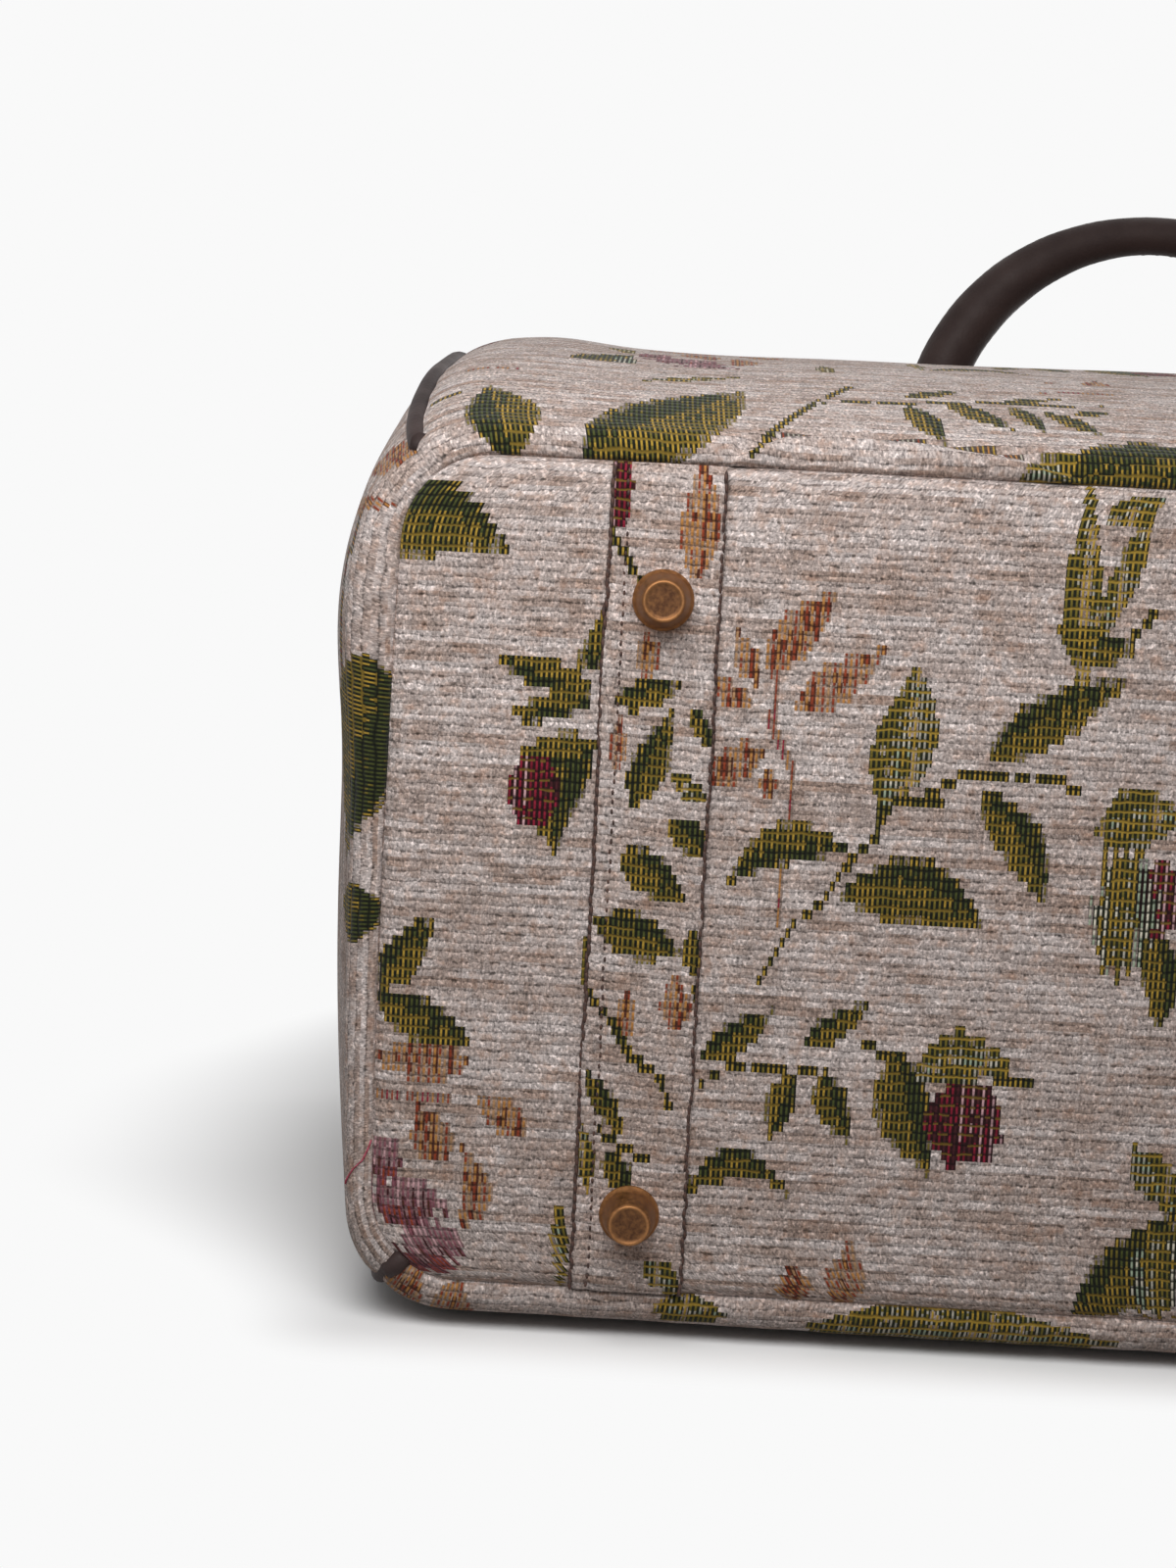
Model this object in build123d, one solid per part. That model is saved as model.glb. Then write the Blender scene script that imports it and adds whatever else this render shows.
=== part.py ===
"""A carpet bag of woven tapestry, lying on its back with its base and brass feet towards -Y.

X runs along the bag's width, Y from the base panel to the zipped top, and Z up, out of the front panel.
The origin is on the floor under the middle of the back panel. Lengths are in millimetres, angles in degrees.
"""
from build123d import *
import os
from math import asin, atan2, cos, degrees, radians, sin
from typing import NamedTuple

# Body, made of sewn panels
BASE_WIDTH = 400.0  # base panel, side seam to side seam
BASE_DEPTH = 179.0  # base panel, back seam to front seam
BASE_LIFT = 11.0  # floor to the base panel's back seam
BODY_HEIGHT = 260.0  # base panel to top panel
WALL = 4.0  # tapestry with its backing and lining
CORNER_RADIUS = 24.0
SIDE_BULGE = 10.0
SIDE_BOW = 14.0
FRONT_BULGE = 27.0
TOP_DROP = 85.0  # crest of the front panel down to the top panel
TOP_LIFT = 38.0  # floor up to the top panel
SEAM_CLEARANCE = 0.15
CUT_OVERRUN = 20.0

# Leather piping in the four side seams
PIPING_RADIUS = 2.5
PIPING_PROUD = 1.2

# Base: board, sewn bands and feet
BASE_THICKNESS = 3.5
BOARD_THICKNESS = 2.5
BOARD_MARGIN = 5.0
BAND_WIDTH = 24.0
BAND_THICKNESS = 1.6
BAND_INSET = 57.0  # side seam to the middle of a band
FOOT_RADIUS = 6.4
FOOT_TIP_RADIUS = 4.3
FOOT_HEIGHT = 9.0
FOOT_RIM = 0.8
FOOT_DISH = 0.7
FOOT_FROM_FRONT = 28.8
FOOT_FROM_BACK = 18.2
SHANK_RADIUS = 1.6
SHANK_CLEARANCE = 0.15
WASHER_RADIUS = 6.0
WASHER_THICKNESS = 1.0
RIVET_RADIUS = 3.0
RIVET_HEIGHT = 1.2

# Rolled handles on rectangular rings
HANDLE_SPAN = 130.0
HANDLE_RADIUS = 6.2
HANDLE_NECK = 9.0  # straight leg from the ring to the arch
EYE_RADIUS = 5.0
EYE_WIDTH = 15.0
NECK_THICKNESS = 9.0
NECK_LENGTH = 7.0
RING_WIRE_RADIUS = 2.0
RING_INNER_WIDTH = 20.0
RING_REACH = 14.0
RING_CHEEK = 2.6
RING_CLEARANCE = 0.15
TAB_WIDTH = 26.0
TAB_THICKNESS = 3.0
TAB_BELOW = 34.0  # ring axis to the tab's end nearest the base
TAB_ABOVE = 9.0
LOOP_RADIUS = 4.6
LOOP_HEIGHT = 5.4  # panel surface to the ring's axis
HANDLE_HEIGHT_SHARE = 0.86  # the body station that carries the ring axis
REST_CLEARANCE = 0.3  # floor to the back handle lying on it

# Zip in the top panel
TOP_THICKNESS = 3.5
ZIP_LENGTH = 330.0
ZIP_END_MARGIN = 31.0  # end of the zip to the top panel's outer side
ZIP_SLOT = 11.0
ZIP_SLIT = 1.2
TAPE_WIDTH = 14.0
TAPE_THICKNESS = 0.9
TAPE_OVERLAP = 6.0
TOOTH_WIDTH = 2.2
TOOTH_HEIGHT = 3.0
TOOTH_PITCH = 3.0
TOOTH_GAP = 0.9
TOOTH_NOTCH = 0.8
STOP_LENGTH = 3.0
SLIDER_LENGTH = 12.0
SLIDER_WIDTH = 9.0
SLIDER_PLATE = 1.2
SLIDER_CLEARANCE = 0.2
POST_LENGTH = 3.5
POST_CLEARANCE = 0.2
EAR_LENGTH = 4.0
EAR_THICKNESS = 1.2
EAR_GAP = 3.4
PIN_RADIUS = 0.8
PIN_CLEARANCE = 0.1
PIN_HEIGHT = 2.2  # slider's top plate to the pull's pin
PULL_LENGTH = 26.0
PULL_WIDTH = 6.5
PULL_NECK_LENGTH = 5.0
PULL_NECK_WIDTH = 2.8
PULL_THICKNESS = 1.6


class Station(NamedTuple):
    """One cross-section of the body, in shares of the driving dimensions."""

    height_share: float
    side_share: float
    taper_share: float
    bow_share: float
    edge_share: float
    lift_share: float
    bulge_share: float
    drop_share: float


STATION_SHARES = [
    Station(0.000, 0.00, 0.00, 0.15, 1.00, 0.00, 0.00, 0.000),
    Station(0.025, 0.35, 0.00, 0.30, 0.42, 0.00, 0.14, 0.000),
    Station(0.070, 0.65, 0.00, 0.50, 0.08, 0.00, 0.32, 0.000),
    Station(0.160, 0.90, 0.00, 0.75, 0.00, -0.02, 0.60, 0.000),
    Station(0.300, 1.00, 0.00, 0.95, 0.00, -0.02, 0.87, 0.000),
    Station(0.460, 1.00, 0.00, 1.00, 0.00, -0.02, 1.00, 0.000),
    Station(0.600, 0.95, 0.03, 0.97, 0.00, -0.02, 1.00, 0.040),
    Station(0.700, 0.85, 0.10, 0.90, 0.00, -0.01, 1.00, 0.140),
    Station(0.780, 0.70, 0.25, 0.78, 0.00, 0.11, 1.00, 0.280),
    Station(HANDLE_HEIGHT_SHARE, 0.48, 0.50, 0.60, 0.00, 0.36, 1.00, 0.510),
    Station(0.930, 0.25, 0.75, 0.45, 0.00, 0.66, 1.00, 0.745),
    Station(1.000, 0.00, 1.00, 0.30, 0.00, 1.00, 1.00, 1.000),
]


class Section:
    """The body's outline at one station: a rounded rectangle with bowed sides, built of tangent arcs."""

    def __init__(self, station):
        self.y = BODY_HEIGHT * (station.height_share - 0.5)
        base_half = BASE_WIDTH / 2 + WALL
        top_half = ZIP_LENGTH / 2 + ZIP_END_MARGIN
        taper = (top_half - base_half) * station.taper_share
        self.half_width = base_half + taper + SIDE_BULGE * station.side_share
        self.back = (BASE_LIFT - WALL) * station.edge_share + TOP_LIFT * station.lift_share
        self.front = (
            BASE_LIFT + BASE_DEPTH + WALL + FRONT_BULGE * station.bulge_share - TOP_DROP * station.drop_share
        )
        self.middle = (self.front + self.back) / 2
        half_depth = (self.front - self.back) / 2
        bow = SIDE_BOW * station.bow_share
        self.side_radius = (half_depth**2 + bow**2) / (2 * bow)
        self.side_centre = self.half_width - self.side_radius
        self.corner_height = half_depth - CORNER_RADIUS
        self.side_angle = degrees(asin(self.corner_height / (self.side_radius - CORNER_RADIUS)))
        self.corner_x = self.side_centre + (self.side_radius - CORNER_RADIUS) * cos(radians(self.side_angle))
        self.seam_angle = (90 + self.side_angle) / 2
        self.seam_gap = degrees(asin((PIPING_RADIUS + SEAM_CLEARANCE) / (CORNER_RADIUS + PIPING_PROUD)))
        self.plane = Plane(origin=(0, self.y, 0), x_dir=(1, 0, 0), z_dir=(0, -1, 0))

    def corner(self, right, up):
        """Centre of a corner arc; right and up are 1 or -1."""
        return (right * self.corner_x, self.middle + up * self.corner_height)

    def piping_centre(self, right, up):
        x, z = self.corner(right, up)
        reach = CORNER_RADIUS + PIPING_PROUD
        return (
            x + right * reach * cos(radians(self.seam_angle)),
            z + up * reach * sin(radians(self.seam_angle)),
        )

    def corner_arc(self, right, up, grow, start, end):
        """Arc of a corner between two angles above the level, mirrored into its quadrant."""
        start, end = (start, end) if right > 0 else (180 - start, 180 - end)
        return CenterArc(self.corner(right, up), CORNER_RADIUS + grow, up * start, up * (end - start))

    def side_arc(self, right, grow):
        start = -self.side_angle if right > 0 else 180 - self.side_angle
        centre = (right * self.side_centre, self.middle)
        return CenterArc(centre, self.side_radius + grow, start, 2 * self.side_angle)

    def flat_line(self, up, grow):
        z = self.middle + up * (self.corner_height + CORNER_RADIUS + grow)
        return Line((self.corner_x, z), (-self.corner_x, z))

    def outline(self, grow):
        """The whole outline as a face, grown or shrunk."""
        edges = []
        for side in (1, -1):
            edges += [self.side_arc(side, grow), self.flat_line(side, grow)]
            edges += [self.corner_arc(side, up, grow, self.side_angle, 90) for up in (1, -1)]
        return self.plane * make_face(edges)

    def broad_strip(self, up):
        """Section of the front (up 1) or back (up -1) panel, from side seam to side seam."""
        start = self.seam_angle + self.seam_gap
        edges = []
        for grow in (0, -WALL):
            edges.append(self.flat_line(up, grow))
            edges += [self.corner_arc(side, up, grow, start, 90) for side in (1, -1)]
        edges += [self.seam_cap(side, up, start) for side in (1, -1)]
        return self.plane * make_face(edges)

    def side_strip(self):
        """Section of the right-hand gusset, from back seam to front seam."""
        end = self.seam_angle - self.seam_gap
        edges = []
        for grow in (0, -WALL):
            edges.append(self.side_arc(1, grow))
            edges += [self.corner_arc(1, up, grow, self.side_angle, end) for up in (1, -1)]
        edges += [self.seam_cap(1, up, end) for up in (1, -1)]
        return self.plane * make_face(edges)

    def seam_cap(self, right, up, angle):
        """Line across the wall at a seam."""
        x, z = self.corner(right, up)
        across = (right * cos(radians(angle)), up * sin(radians(angle)))
        ends = [
            (x + reach * across[0], z + reach * across[1]) for reach in (CORNER_RADIUS, CORNER_RADIUS - WALL)
        ]
        return Line(*ends)


SECTIONS = [Section(station) for station in STATION_SHARES]
BASE_SECTION, TOP_SECTION = SECTIONS[0], SECTIONS[-1]
OVERALL = BASE_WIDTH + BASE_DEPTH + BODY_HEIGHT
BASE_Y = BASE_SECTION.y
TOP_Y = TOP_SECTION.y


def plate(section, inset, start, thickness):
    """A flat plate with the section's outline, from a Y level inwards."""
    face = section.outline(-inset)
    return extrude(Pos(0, start - section.y, 0) * face, amount=thickness, dir=(0, 1, 0))


def rod_along_x(radius, length, x, y, z):
    return Pos(x, y, z) * Rot(0, 90, 0) * Cylinder(radius, length)


def rod_along_y(radius, start, end, x, z):
    return Pos(x, (start + end) / 2, z) * Rot(90, 0, 0) * Cylinder(radius, end - start)


def block(x_range, y_range, z_range):
    """A box from its limits along the three axes."""
    size = [high - low for low, high in (x_range, y_range, z_range)]
    centre = [(low + high) / 2 for low, high in (x_range, y_range, z_range)]
    return Pos(*centre) * Box(*size)


def stretched(faces):
    """A panel drawn straight from each station to the next."""
    return loft(faces, ruled=True)


# Body panels
def front_panel():
    return stretched([section.broad_strip(1) for section in SECTIONS])


def back_panel():
    """The back panel, flattened where it lies on the floor."""
    floor = block((-OVERALL, OVERALL), (-OVERALL, OVERALL), (-CUT_OVERRUN, 0))
    return stretched([section.broad_strip(-1) for section in SECTIONS]) - floor


def gusset():
    return stretched([section.side_strip() for section in SECTIONS])


def piping(right, up):
    ring = Circle(PIPING_RADIUS)
    return stretched([section.plane * Pos(*section.piping_centre(right, up)) * ring for section in SECTIONS])


# Base
BAND_X = BASE_WIDTH / 2 - BAND_INSET
FOOT_Z = (BASE_LIFT + FOOT_FROM_BACK, BASE_LIFT + BASE_DEPTH - FOOT_FROM_FRONT)
FOOT_PLACES = [(side * BAND_X, z) for side in (-1, 1) for z in FOOT_Z]
BOARD_Y = BASE_Y + BASE_THICKNESS
WASHER_Y = BOARD_Y + BOARD_THICKNESS
BAND_Y = BASE_Y - BAND_THICKNESS


def drilled(solid, start, end):
    """The solid with a hole for each foot's shank."""
    for x, z in FOOT_PLACES:
        solid -= rod_along_y(SHANK_RADIUS + SHANK_CLEARANCE, start - CUT_OVERRUN, end + CUT_OVERRUN, x, z)
    return solid


def base_panel():
    return drilled(plate(BASE_SECTION, WALL + SEAM_CLEARANCE, BASE_Y, BASE_THICKNESS), BASE_Y, BOARD_Y)


def base_board():
    return drilled(plate(BASE_SECTION, WALL + BOARD_MARGIN, BOARD_Y, BOARD_THICKNESS), BOARD_Y, WASHER_Y)


def base_band(side):
    x_range = (side * BAND_X - BAND_WIDTH / 2, side * BAND_X + BAND_WIDTH / 2)
    z_range = (BASE_LIFT + SEAM_CLEARANCE, BASE_LIFT + BASE_DEPTH - SEAM_CLEARANCE)
    return drilled(block(x_range, (BAND_Y, BASE_Y), z_range), BAND_Y, BASE_Y)


def foot():
    """A turned stud: tapered head with a rimmed, dished tip, shank, and a peened end inside the bag."""
    shank_end = WASHER_Y + WASHER_THICKNESS
    tip = BAND_Y - FOOT_HEIGHT
    profile = [
        (0, tip + FOOT_DISH),
        (FOOT_TIP_RADIUS - FOOT_RIM - FOOT_DISH, tip + FOOT_DISH),
        (FOOT_TIP_RADIUS - FOOT_RIM, tip),
        (FOOT_TIP_RADIUS, tip),
        (FOOT_RADIUS, BAND_Y - FOOT_RIM),
        (FOOT_RADIUS, BAND_Y),
        (SHANK_RADIUS, BAND_Y),
        (SHANK_RADIUS, shank_end),
        (RIVET_RADIUS, shank_end),
        (SHANK_RADIUS, shank_end + RIVET_HEIGHT),
        (0, shank_end + RIVET_HEIGHT),
    ]
    return revolve(make_face(Polyline(*profile, close=True)), axis=Axis.Y)


def base_feet():
    stud = foot()
    return [Pos(x, 0, z) * stud for x, z in FOOT_PLACES]


def foot_washers():
    bore = SHANK_RADIUS + SHANK_CLEARANCE
    end = WASHER_Y + WASHER_THICKNESS
    return [
        rod_along_y(WASHER_RADIUS, WASHER_Y, end, x, z)
        - rod_along_y(bore, WASHER_Y - CUT_OVERRUN, end + CUT_OVERRUN, x, z)
        for x, z in FOOT_PLACES
    ]


# Handles, each built about its ring axis with the arch standing up along Z
def handle_arch():
    """A rolled handle: a half ring on straight legs, whose flattened ends are sewn round the rings."""
    half = HANDLE_SPAN / 2
    spring = RING_REACH + HANDLE_NECK
    profile = Pos(half, 0, spring) * Circle(HANDLE_RADIUS)
    arch = revolve(profile, axis=Axis((0, 0, spring), (0, -1, 0)), revolution_arc=180)
    for x in (-half, half):
        arch += Pos(x, 0, RING_REACH + HANDLE_NECK / 2) * Cylinder(HANDLE_RADIUS, HANDLE_NECK)
        arch += rod_along_x(EYE_RADIUS, EYE_WIDTH, x, 0, RING_REACH)
        arch += Pos(x, 0, RING_REACH + NECK_LENGTH / 2) * Box(EYE_WIDTH, NECK_THICKNESS, NECK_LENGTH)
    for x in (-half, half):
        bore = RING_WIRE_RADIUS + RING_CLEARANCE
        arch -= rod_along_x(bore, EYE_WIDTH + CUT_OVERRUN, x, 0, RING_REACH)
    return arch


def handle_rings():
    """Two rectangular rings: round bars on the hinge axis and in the handle's eye, between flat cheeks."""
    width = RING_INNER_WIDTH + 2 * RING_CHEEK
    outline = SlotCenterToCenter(RING_REACH, 2 * RING_WIRE_RADIUS, rotation=90)
    cheek = extrude(Plane.YZ * Pos(0, RING_REACH / 2) * outline, amount=RING_CHEEK)
    ring = Pos(RING_INNER_WIDTH / 2, 0, 0) * cheek
    ring += Pos(-RING_INNER_WIDTH / 2 - RING_CHEEK, 0, 0) * cheek
    for z in (0, RING_REACH):
        ring += rod_along_x(RING_WIRE_RADIUS, width, 0, 0, z)
    return [Pos(x, 0, 0) * ring for x in (-HANDLE_SPAN / 2, HANDLE_SPAN / 2)]


class HandleSeat:
    """Where a handle's ring axis sits above its panel; up is 1 on the front panel and -1 on the back."""

    def __init__(self, up):
        heights = [station.height_share for station in STATION_SHARES]
        index = heights.index(HANDLE_HEIGHT_SHARE)
        before, here, after = SECTIONS[index - 1 : index + 2]
        level = (lambda s: s.front) if up > 0 else (lambda s: s.back)
        slope = atan2(level(after) - level(before), after.y - before.y)
        self.up = up
        self.y = here.y - up * LOOP_HEIGHT * sin(slope)
        self.z = level(here) + up * LOOP_HEIGHT * cos(slope)

    def place(self, solids, turn):
        move = Pos(0, self.y, self.z) * Rot(turn, 0, 0)
        return [move * solid for solid in solids]

    def tabs(self):
        """Leather patches that follow the panel, each with a loop for its ring."""
        skin = body_skin(SEAM_CLEARANCE + TAB_THICKNESS)
        inside = body_skin(SEAM_CLEARANCE)
        y_range = (self.y - TAB_BELOW, self.y + TAB_ABOVE)
        z_range = sorted((self.z - self.up * TAB_BELOW, self.z + self.up * OVERALL))
        made = []
        for x in (-HANDLE_SPAN / 2, HANDLE_SPAN / 2):
            room = block((x - TAB_WIDTH / 2, x + TAB_WIDTH / 2), y_range, z_range)
            patch = (skin & room) - inside
            patch += rod_along_x(LOOP_RADIUS, EYE_WIDTH, x, self.y, self.z)
            bore = RING_WIRE_RADIUS + RING_CLEARANCE
            patch -= rod_along_x(bore, EYE_WIDTH + CUT_OVERRUN, x, self.y, self.z)
            made.append(patch)
        return made


def body_skin(grow):
    """The closed body grown by an amount, used to shape what lies on it."""
    return stretched([section.outline(grow) for section in SECTIONS])


FRONT_SEAT = HandleSeat(1)
BACK_SEAT = HandleSeat(-1)
ARCH_REACH = RING_REACH + HANDLE_NECK + HANDLE_SPAN / 2
BACK_TURN = -90 - degrees(asin((BACK_SEAT.z - HANDLE_RADIUS - REST_CLEARANCE) / ARCH_REACH))


# Zip
ZIP_Z = TOP_SECTION.middle
TAPE_TOP = TOP_Y - TOP_THICKNESS
TAPE_MIDDLE = TAPE_TOP - TAPE_THICKNESS / 2
TOOTH_TOP = TAPE_MIDDLE + TOOTH_HEIGHT / 2
TOOTH_BOTTOM = TAPE_MIDDLE - TOOTH_HEIGHT / 2
CHAIN_HALF = ZIP_SLIT / 2 + TOOTH_WIDTH
SLIDER_X = ZIP_LENGTH / 2 - SLIDER_CLEARANCE - SLIDER_LENGTH / 2
SLIDER_TOP = TOOTH_TOP + SLIDER_CLEARANCE + SLIDER_PLATE
PIN_Y = SLIDER_TOP + PIN_HEIGHT


def top_panel():
    start = TOP_Y - TOP_THICKNESS
    panel = plate(TOP_SECTION, WALL + SEAM_CLEARANCE, start, TOP_THICKNESS)
    half = ZIP_LENGTH / 2 + STOP_LENGTH + SEAM_CLEARANCE
    slot = block(
        (-half, half),
        (start - CUT_OVERRUN, TOP_Y + CUT_OVERRUN),
        (ZIP_Z - ZIP_SLOT / 2, ZIP_Z + ZIP_SLOT / 2),
    )
    return panel - slot


def zip_tape(up):
    half = ZIP_LENGTH / 2 + STOP_LENGTH + TAPE_OVERLAP
    edges = sorted((ZIP_Z + up * CHAIN_HALF, ZIP_Z + up * TAPE_WIDTH))
    return block((-half, half), (TAPE_TOP - TAPE_THICKNESS, TAPE_TOP), edges)


def zip_teeth(up):
    """One row of teeth: a strip on the tape's edge, notched between the teeth on its outer face."""
    edges = sorted((ZIP_Z + up * ZIP_SLIT / 2, ZIP_Z + up * CHAIN_HALF))
    row = block((-ZIP_LENGTH / 2, ZIP_LENGTH / 2), (TOOTH_BOTTOM, TOOTH_TOP), edges)
    count = int(ZIP_LENGTH / TOOTH_PITCH)
    first = -(count - 1) * TOOTH_PITCH / 2
    depth = (TOOTH_TOP - TOOTH_NOTCH, TOOTH_TOP + CUT_OVERRUN)
    across = (edges[0] - CUT_OVERRUN, edges[1] + CUT_OVERRUN)
    notches = [
        block((x - TOOTH_GAP / 2, x + TOOTH_GAP / 2), depth, across)
        for x in (first + TOOTH_PITCH * i for i in range(count))
    ]
    return row - notches


def zip_stops():
    z_range = (ZIP_Z - CHAIN_HALF, ZIP_Z + CHAIN_HALF)
    ends = [(-ZIP_LENGTH / 2 - STOP_LENGTH, -ZIP_LENGTH / 2), (ZIP_LENGTH / 2, ZIP_LENGTH / 2 + STOP_LENGTH)]
    return [block(x_range, (TOOTH_BOTTOM, TOOTH_TOP), z_range) for x_range in ends]


def zip_slider():
    """Two plates joined by a post that runs in the slit between the rows, with ears for the pull."""
    x_range = (SLIDER_X - SLIDER_LENGTH / 2, SLIDER_X + SLIDER_LENGTH / 2)
    z_range = (ZIP_Z - SLIDER_WIDTH / 2, ZIP_Z + SLIDER_WIDTH / 2)
    under = TOOTH_BOTTOM - SLIDER_CLEARANCE
    over = TOOTH_TOP + SLIDER_CLEARANCE
    slider = block(x_range, (over, SLIDER_TOP), z_range)
    slider += block(x_range, (under - SLIDER_PLATE, under), z_range)
    half_post = ZIP_SLIT / 2 - POST_CLEARANCE
    post_x = (x_range[1] - POST_LENGTH, x_range[1])
    slider += block(post_x, (under, over), (ZIP_Z - half_post, ZIP_Z + half_post))
    ear_x = (SLIDER_X - EAR_LENGTH / 2, SLIDER_X + EAR_LENGTH / 2)
    for up in (1, -1):
        edges = sorted((ZIP_Z + up * EAR_GAP / 2, ZIP_Z + up * (EAR_GAP / 2 + EAR_THICKNESS)))
        slider += block(ear_x, (SLIDER_TOP, PIN_Y), edges)
        slider += Pos(SLIDER_X, PIN_Y, sum(edges) / 2) * Cylinder(EAR_LENGTH / 2, EAR_THICKNESS)
    bore = Pos(SLIDER_X, PIN_Y, ZIP_Z) * Cylinder(PIN_RADIUS + PIN_CLEARANCE, SLIDER_WIDTH + CUT_OVERRUN)
    return slider - bore


def zip_pull():
    """A tab on a pin through the slider's ears, lying back along the teeth."""
    pin = Pos(SLIDER_X, PIN_Y, ZIP_Z) * Cylinder(PIN_RADIUS, EAR_GAP + 2 * EAR_THICKNESS)
    y_range = (PIN_Y - PULL_THICKNESS / 2, PIN_Y + PULL_THICKNESS / 2)
    neck_end = SLIDER_X - PULL_NECK_LENGTH
    neck = block((neck_end, SLIDER_X), y_range, (ZIP_Z - PULL_NECK_WIDTH / 2, ZIP_Z + PULL_NECK_WIDTH / 2))
    tab_sketch = SlotOverall(PULL_LENGTH - PULL_NECK_LENGTH + PULL_WIDTH / 2, PULL_WIDTH)
    middle = (SLIDER_X - PULL_LENGTH + neck_end + PULL_WIDTH / 2) / 2
    face = Plane(origin=(middle, y_range[1], ZIP_Z), x_dir=(1, 0, 0), z_dir=(0, 1, 0))
    tab = extrude(face * tab_sketch, amount=-PULL_THICKNESS)
    tab &= block((SLIDER_X - PULL_LENGTH, neck_end), y_range, (ZIP_Z - PULL_WIDTH, ZIP_Z + PULL_WIDTH))
    return pin + neck + tab


def named_parts():
    """Every node of the bag with its solids."""
    right_gusset = gusset()
    parts = {
        "front_panel": [front_panel()],
        "back_panel": [back_panel()],
        "right_gusset": [right_gusset],
        "left_gusset": [mirror(right_gusset, about=Plane.YZ)],
        "base_panel": [base_panel()],
        "base_board": [base_board()],
        "left_base_band": [base_band(-1)],
        "right_base_band": [base_band(1)],
        "base_feet": base_feet(),
        "foot_washers": foot_washers(),
        "top_panel": [top_panel()],
        "front_zip_tape": [zip_tape(1)],
        "back_zip_tape": [zip_tape(-1)],
        "front_zip_teeth": [zip_teeth(1)],
        "back_zip_teeth": [zip_teeth(-1)],
        "zip_stops": zip_stops(),
        "zip_slider": [zip_slider()],
        "zip_pull": [zip_pull()],
        "front_handle": FRONT_SEAT.place([handle_arch()], 0),
        "front_handle_rings": FRONT_SEAT.place(handle_rings(), 0),
        "front_handle_tabs": FRONT_SEAT.tabs(),
        "back_handle": BACK_SEAT.place([handle_arch()], BACK_TURN),
        "back_handle_rings": BACK_SEAT.place(handle_rings(), BACK_TURN),
        "back_handle_tabs": BACK_SEAT.tabs(),
    }
    for side, right in (("left", -1), ("right", 1)):
        for face, up in (("front", 1), ("back", -1)):
            parts[f"{face}_{side}_piping"] = [piping(right, up)]
    return parts


os.makedirs("parts", exist_ok=True)
for node, solids in named_parts().items():
    export_step(Compound(children=solids) if len(solids) > 1 else solids[0], f"parts/{node}.step")

print(f"front ring axis y {FRONT_SEAT.y:.2f} z {FRONT_SEAT.z:.2f}")
print(f"back ring axis y {BACK_SEAT.y:.2f} z {BACK_SEAT.z:.2f}")
print(f"zip z {ZIP_Z:.2f}, pull pin x {SLIDER_X:.2f} y {PIN_Y:.2f}")
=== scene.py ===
# %% [markdown]
# # A tapestry bag, lying on its back
# The bag is sewn from chenille tapestry: a base with brass feet, bulging front and back panels, two
# gussets and a zipped top, with leather piping in the seams and rolled leather handles. The rigid
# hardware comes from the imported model. Everything sewn is made here, as surfaces worked out with numpy in
# millimetres and placed in the same frame. So are the feet, which are turned.

# %% Load the frame
from typing import NamedTuple
import bpy
import numpy as np
from mathutils import Matrix


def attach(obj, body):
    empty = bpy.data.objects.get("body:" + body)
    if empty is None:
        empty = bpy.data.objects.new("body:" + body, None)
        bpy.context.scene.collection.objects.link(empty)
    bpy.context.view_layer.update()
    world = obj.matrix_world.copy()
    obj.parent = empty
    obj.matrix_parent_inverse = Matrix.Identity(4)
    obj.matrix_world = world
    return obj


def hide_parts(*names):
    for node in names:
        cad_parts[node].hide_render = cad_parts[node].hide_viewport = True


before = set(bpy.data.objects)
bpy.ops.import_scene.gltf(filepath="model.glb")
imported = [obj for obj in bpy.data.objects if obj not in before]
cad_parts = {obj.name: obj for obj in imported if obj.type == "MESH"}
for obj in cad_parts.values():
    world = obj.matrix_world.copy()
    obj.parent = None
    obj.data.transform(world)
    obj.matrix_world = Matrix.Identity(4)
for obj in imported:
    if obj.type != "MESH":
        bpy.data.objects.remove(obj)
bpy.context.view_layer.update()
MM = 0.001

# %% [markdown]
# ## Helpers
# Every sewn piece is a grid of points, so one function turns a grid into a mesh. Its faces are the cells
# of the weave: a face is one warp thread wide and one row of weft tall, and its UV map counts threads and
# rows. Another small function adds a shader node with its properties and inputs. A node given as an input
# stands for its first output.

# %% Colour, node and mesh helpers
def linear(text):
    """sRGB hex to linear RGBA: the sRGB curve, a power of 2.4 above its straight toe."""
    value = np.array([int(text[i : i + 2], 16) for i in (1, 3, 5)]) / 255
    curve = np.where(value <= 0.04045, value / 12.92, ((value + 0.055) / 1.055) ** 2.4)
    return np.append(curve, 1.0)


def connect(material, made, inputs):
    """Set each input, named or numbered, or link it to a socket or to a node's first output."""
    for key, value in inputs.items():
        if isinstance(value, bpy.types.Node):
            value = value.outputs[0]
        if isinstance(value, bpy.types.NodeSocket):
            material.node_tree.links.new(value, made.inputs[key])
        else:
            made.inputs[key].default_value = value


def node(material, kind, inputs=None, **settings):
    """Add a shader node, set its properties, then its inputs."""
    made = material.node_tree.nodes.new("ShaderNode" + kind)
    for name, value in settings.items():
        setattr(made, name, value)
    connect(material, made, inputs or {})
    return made


def new_material(name):
    """A material, its main shader, and the place of a point on its object."""
    material = bpy.data.materials.new(name)
    material.use_nodes = True
    place = node(material, "TexCoord").outputs["Object"]
    return material, material.node_tree.nodes["Principled BSDF"], place


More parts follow.
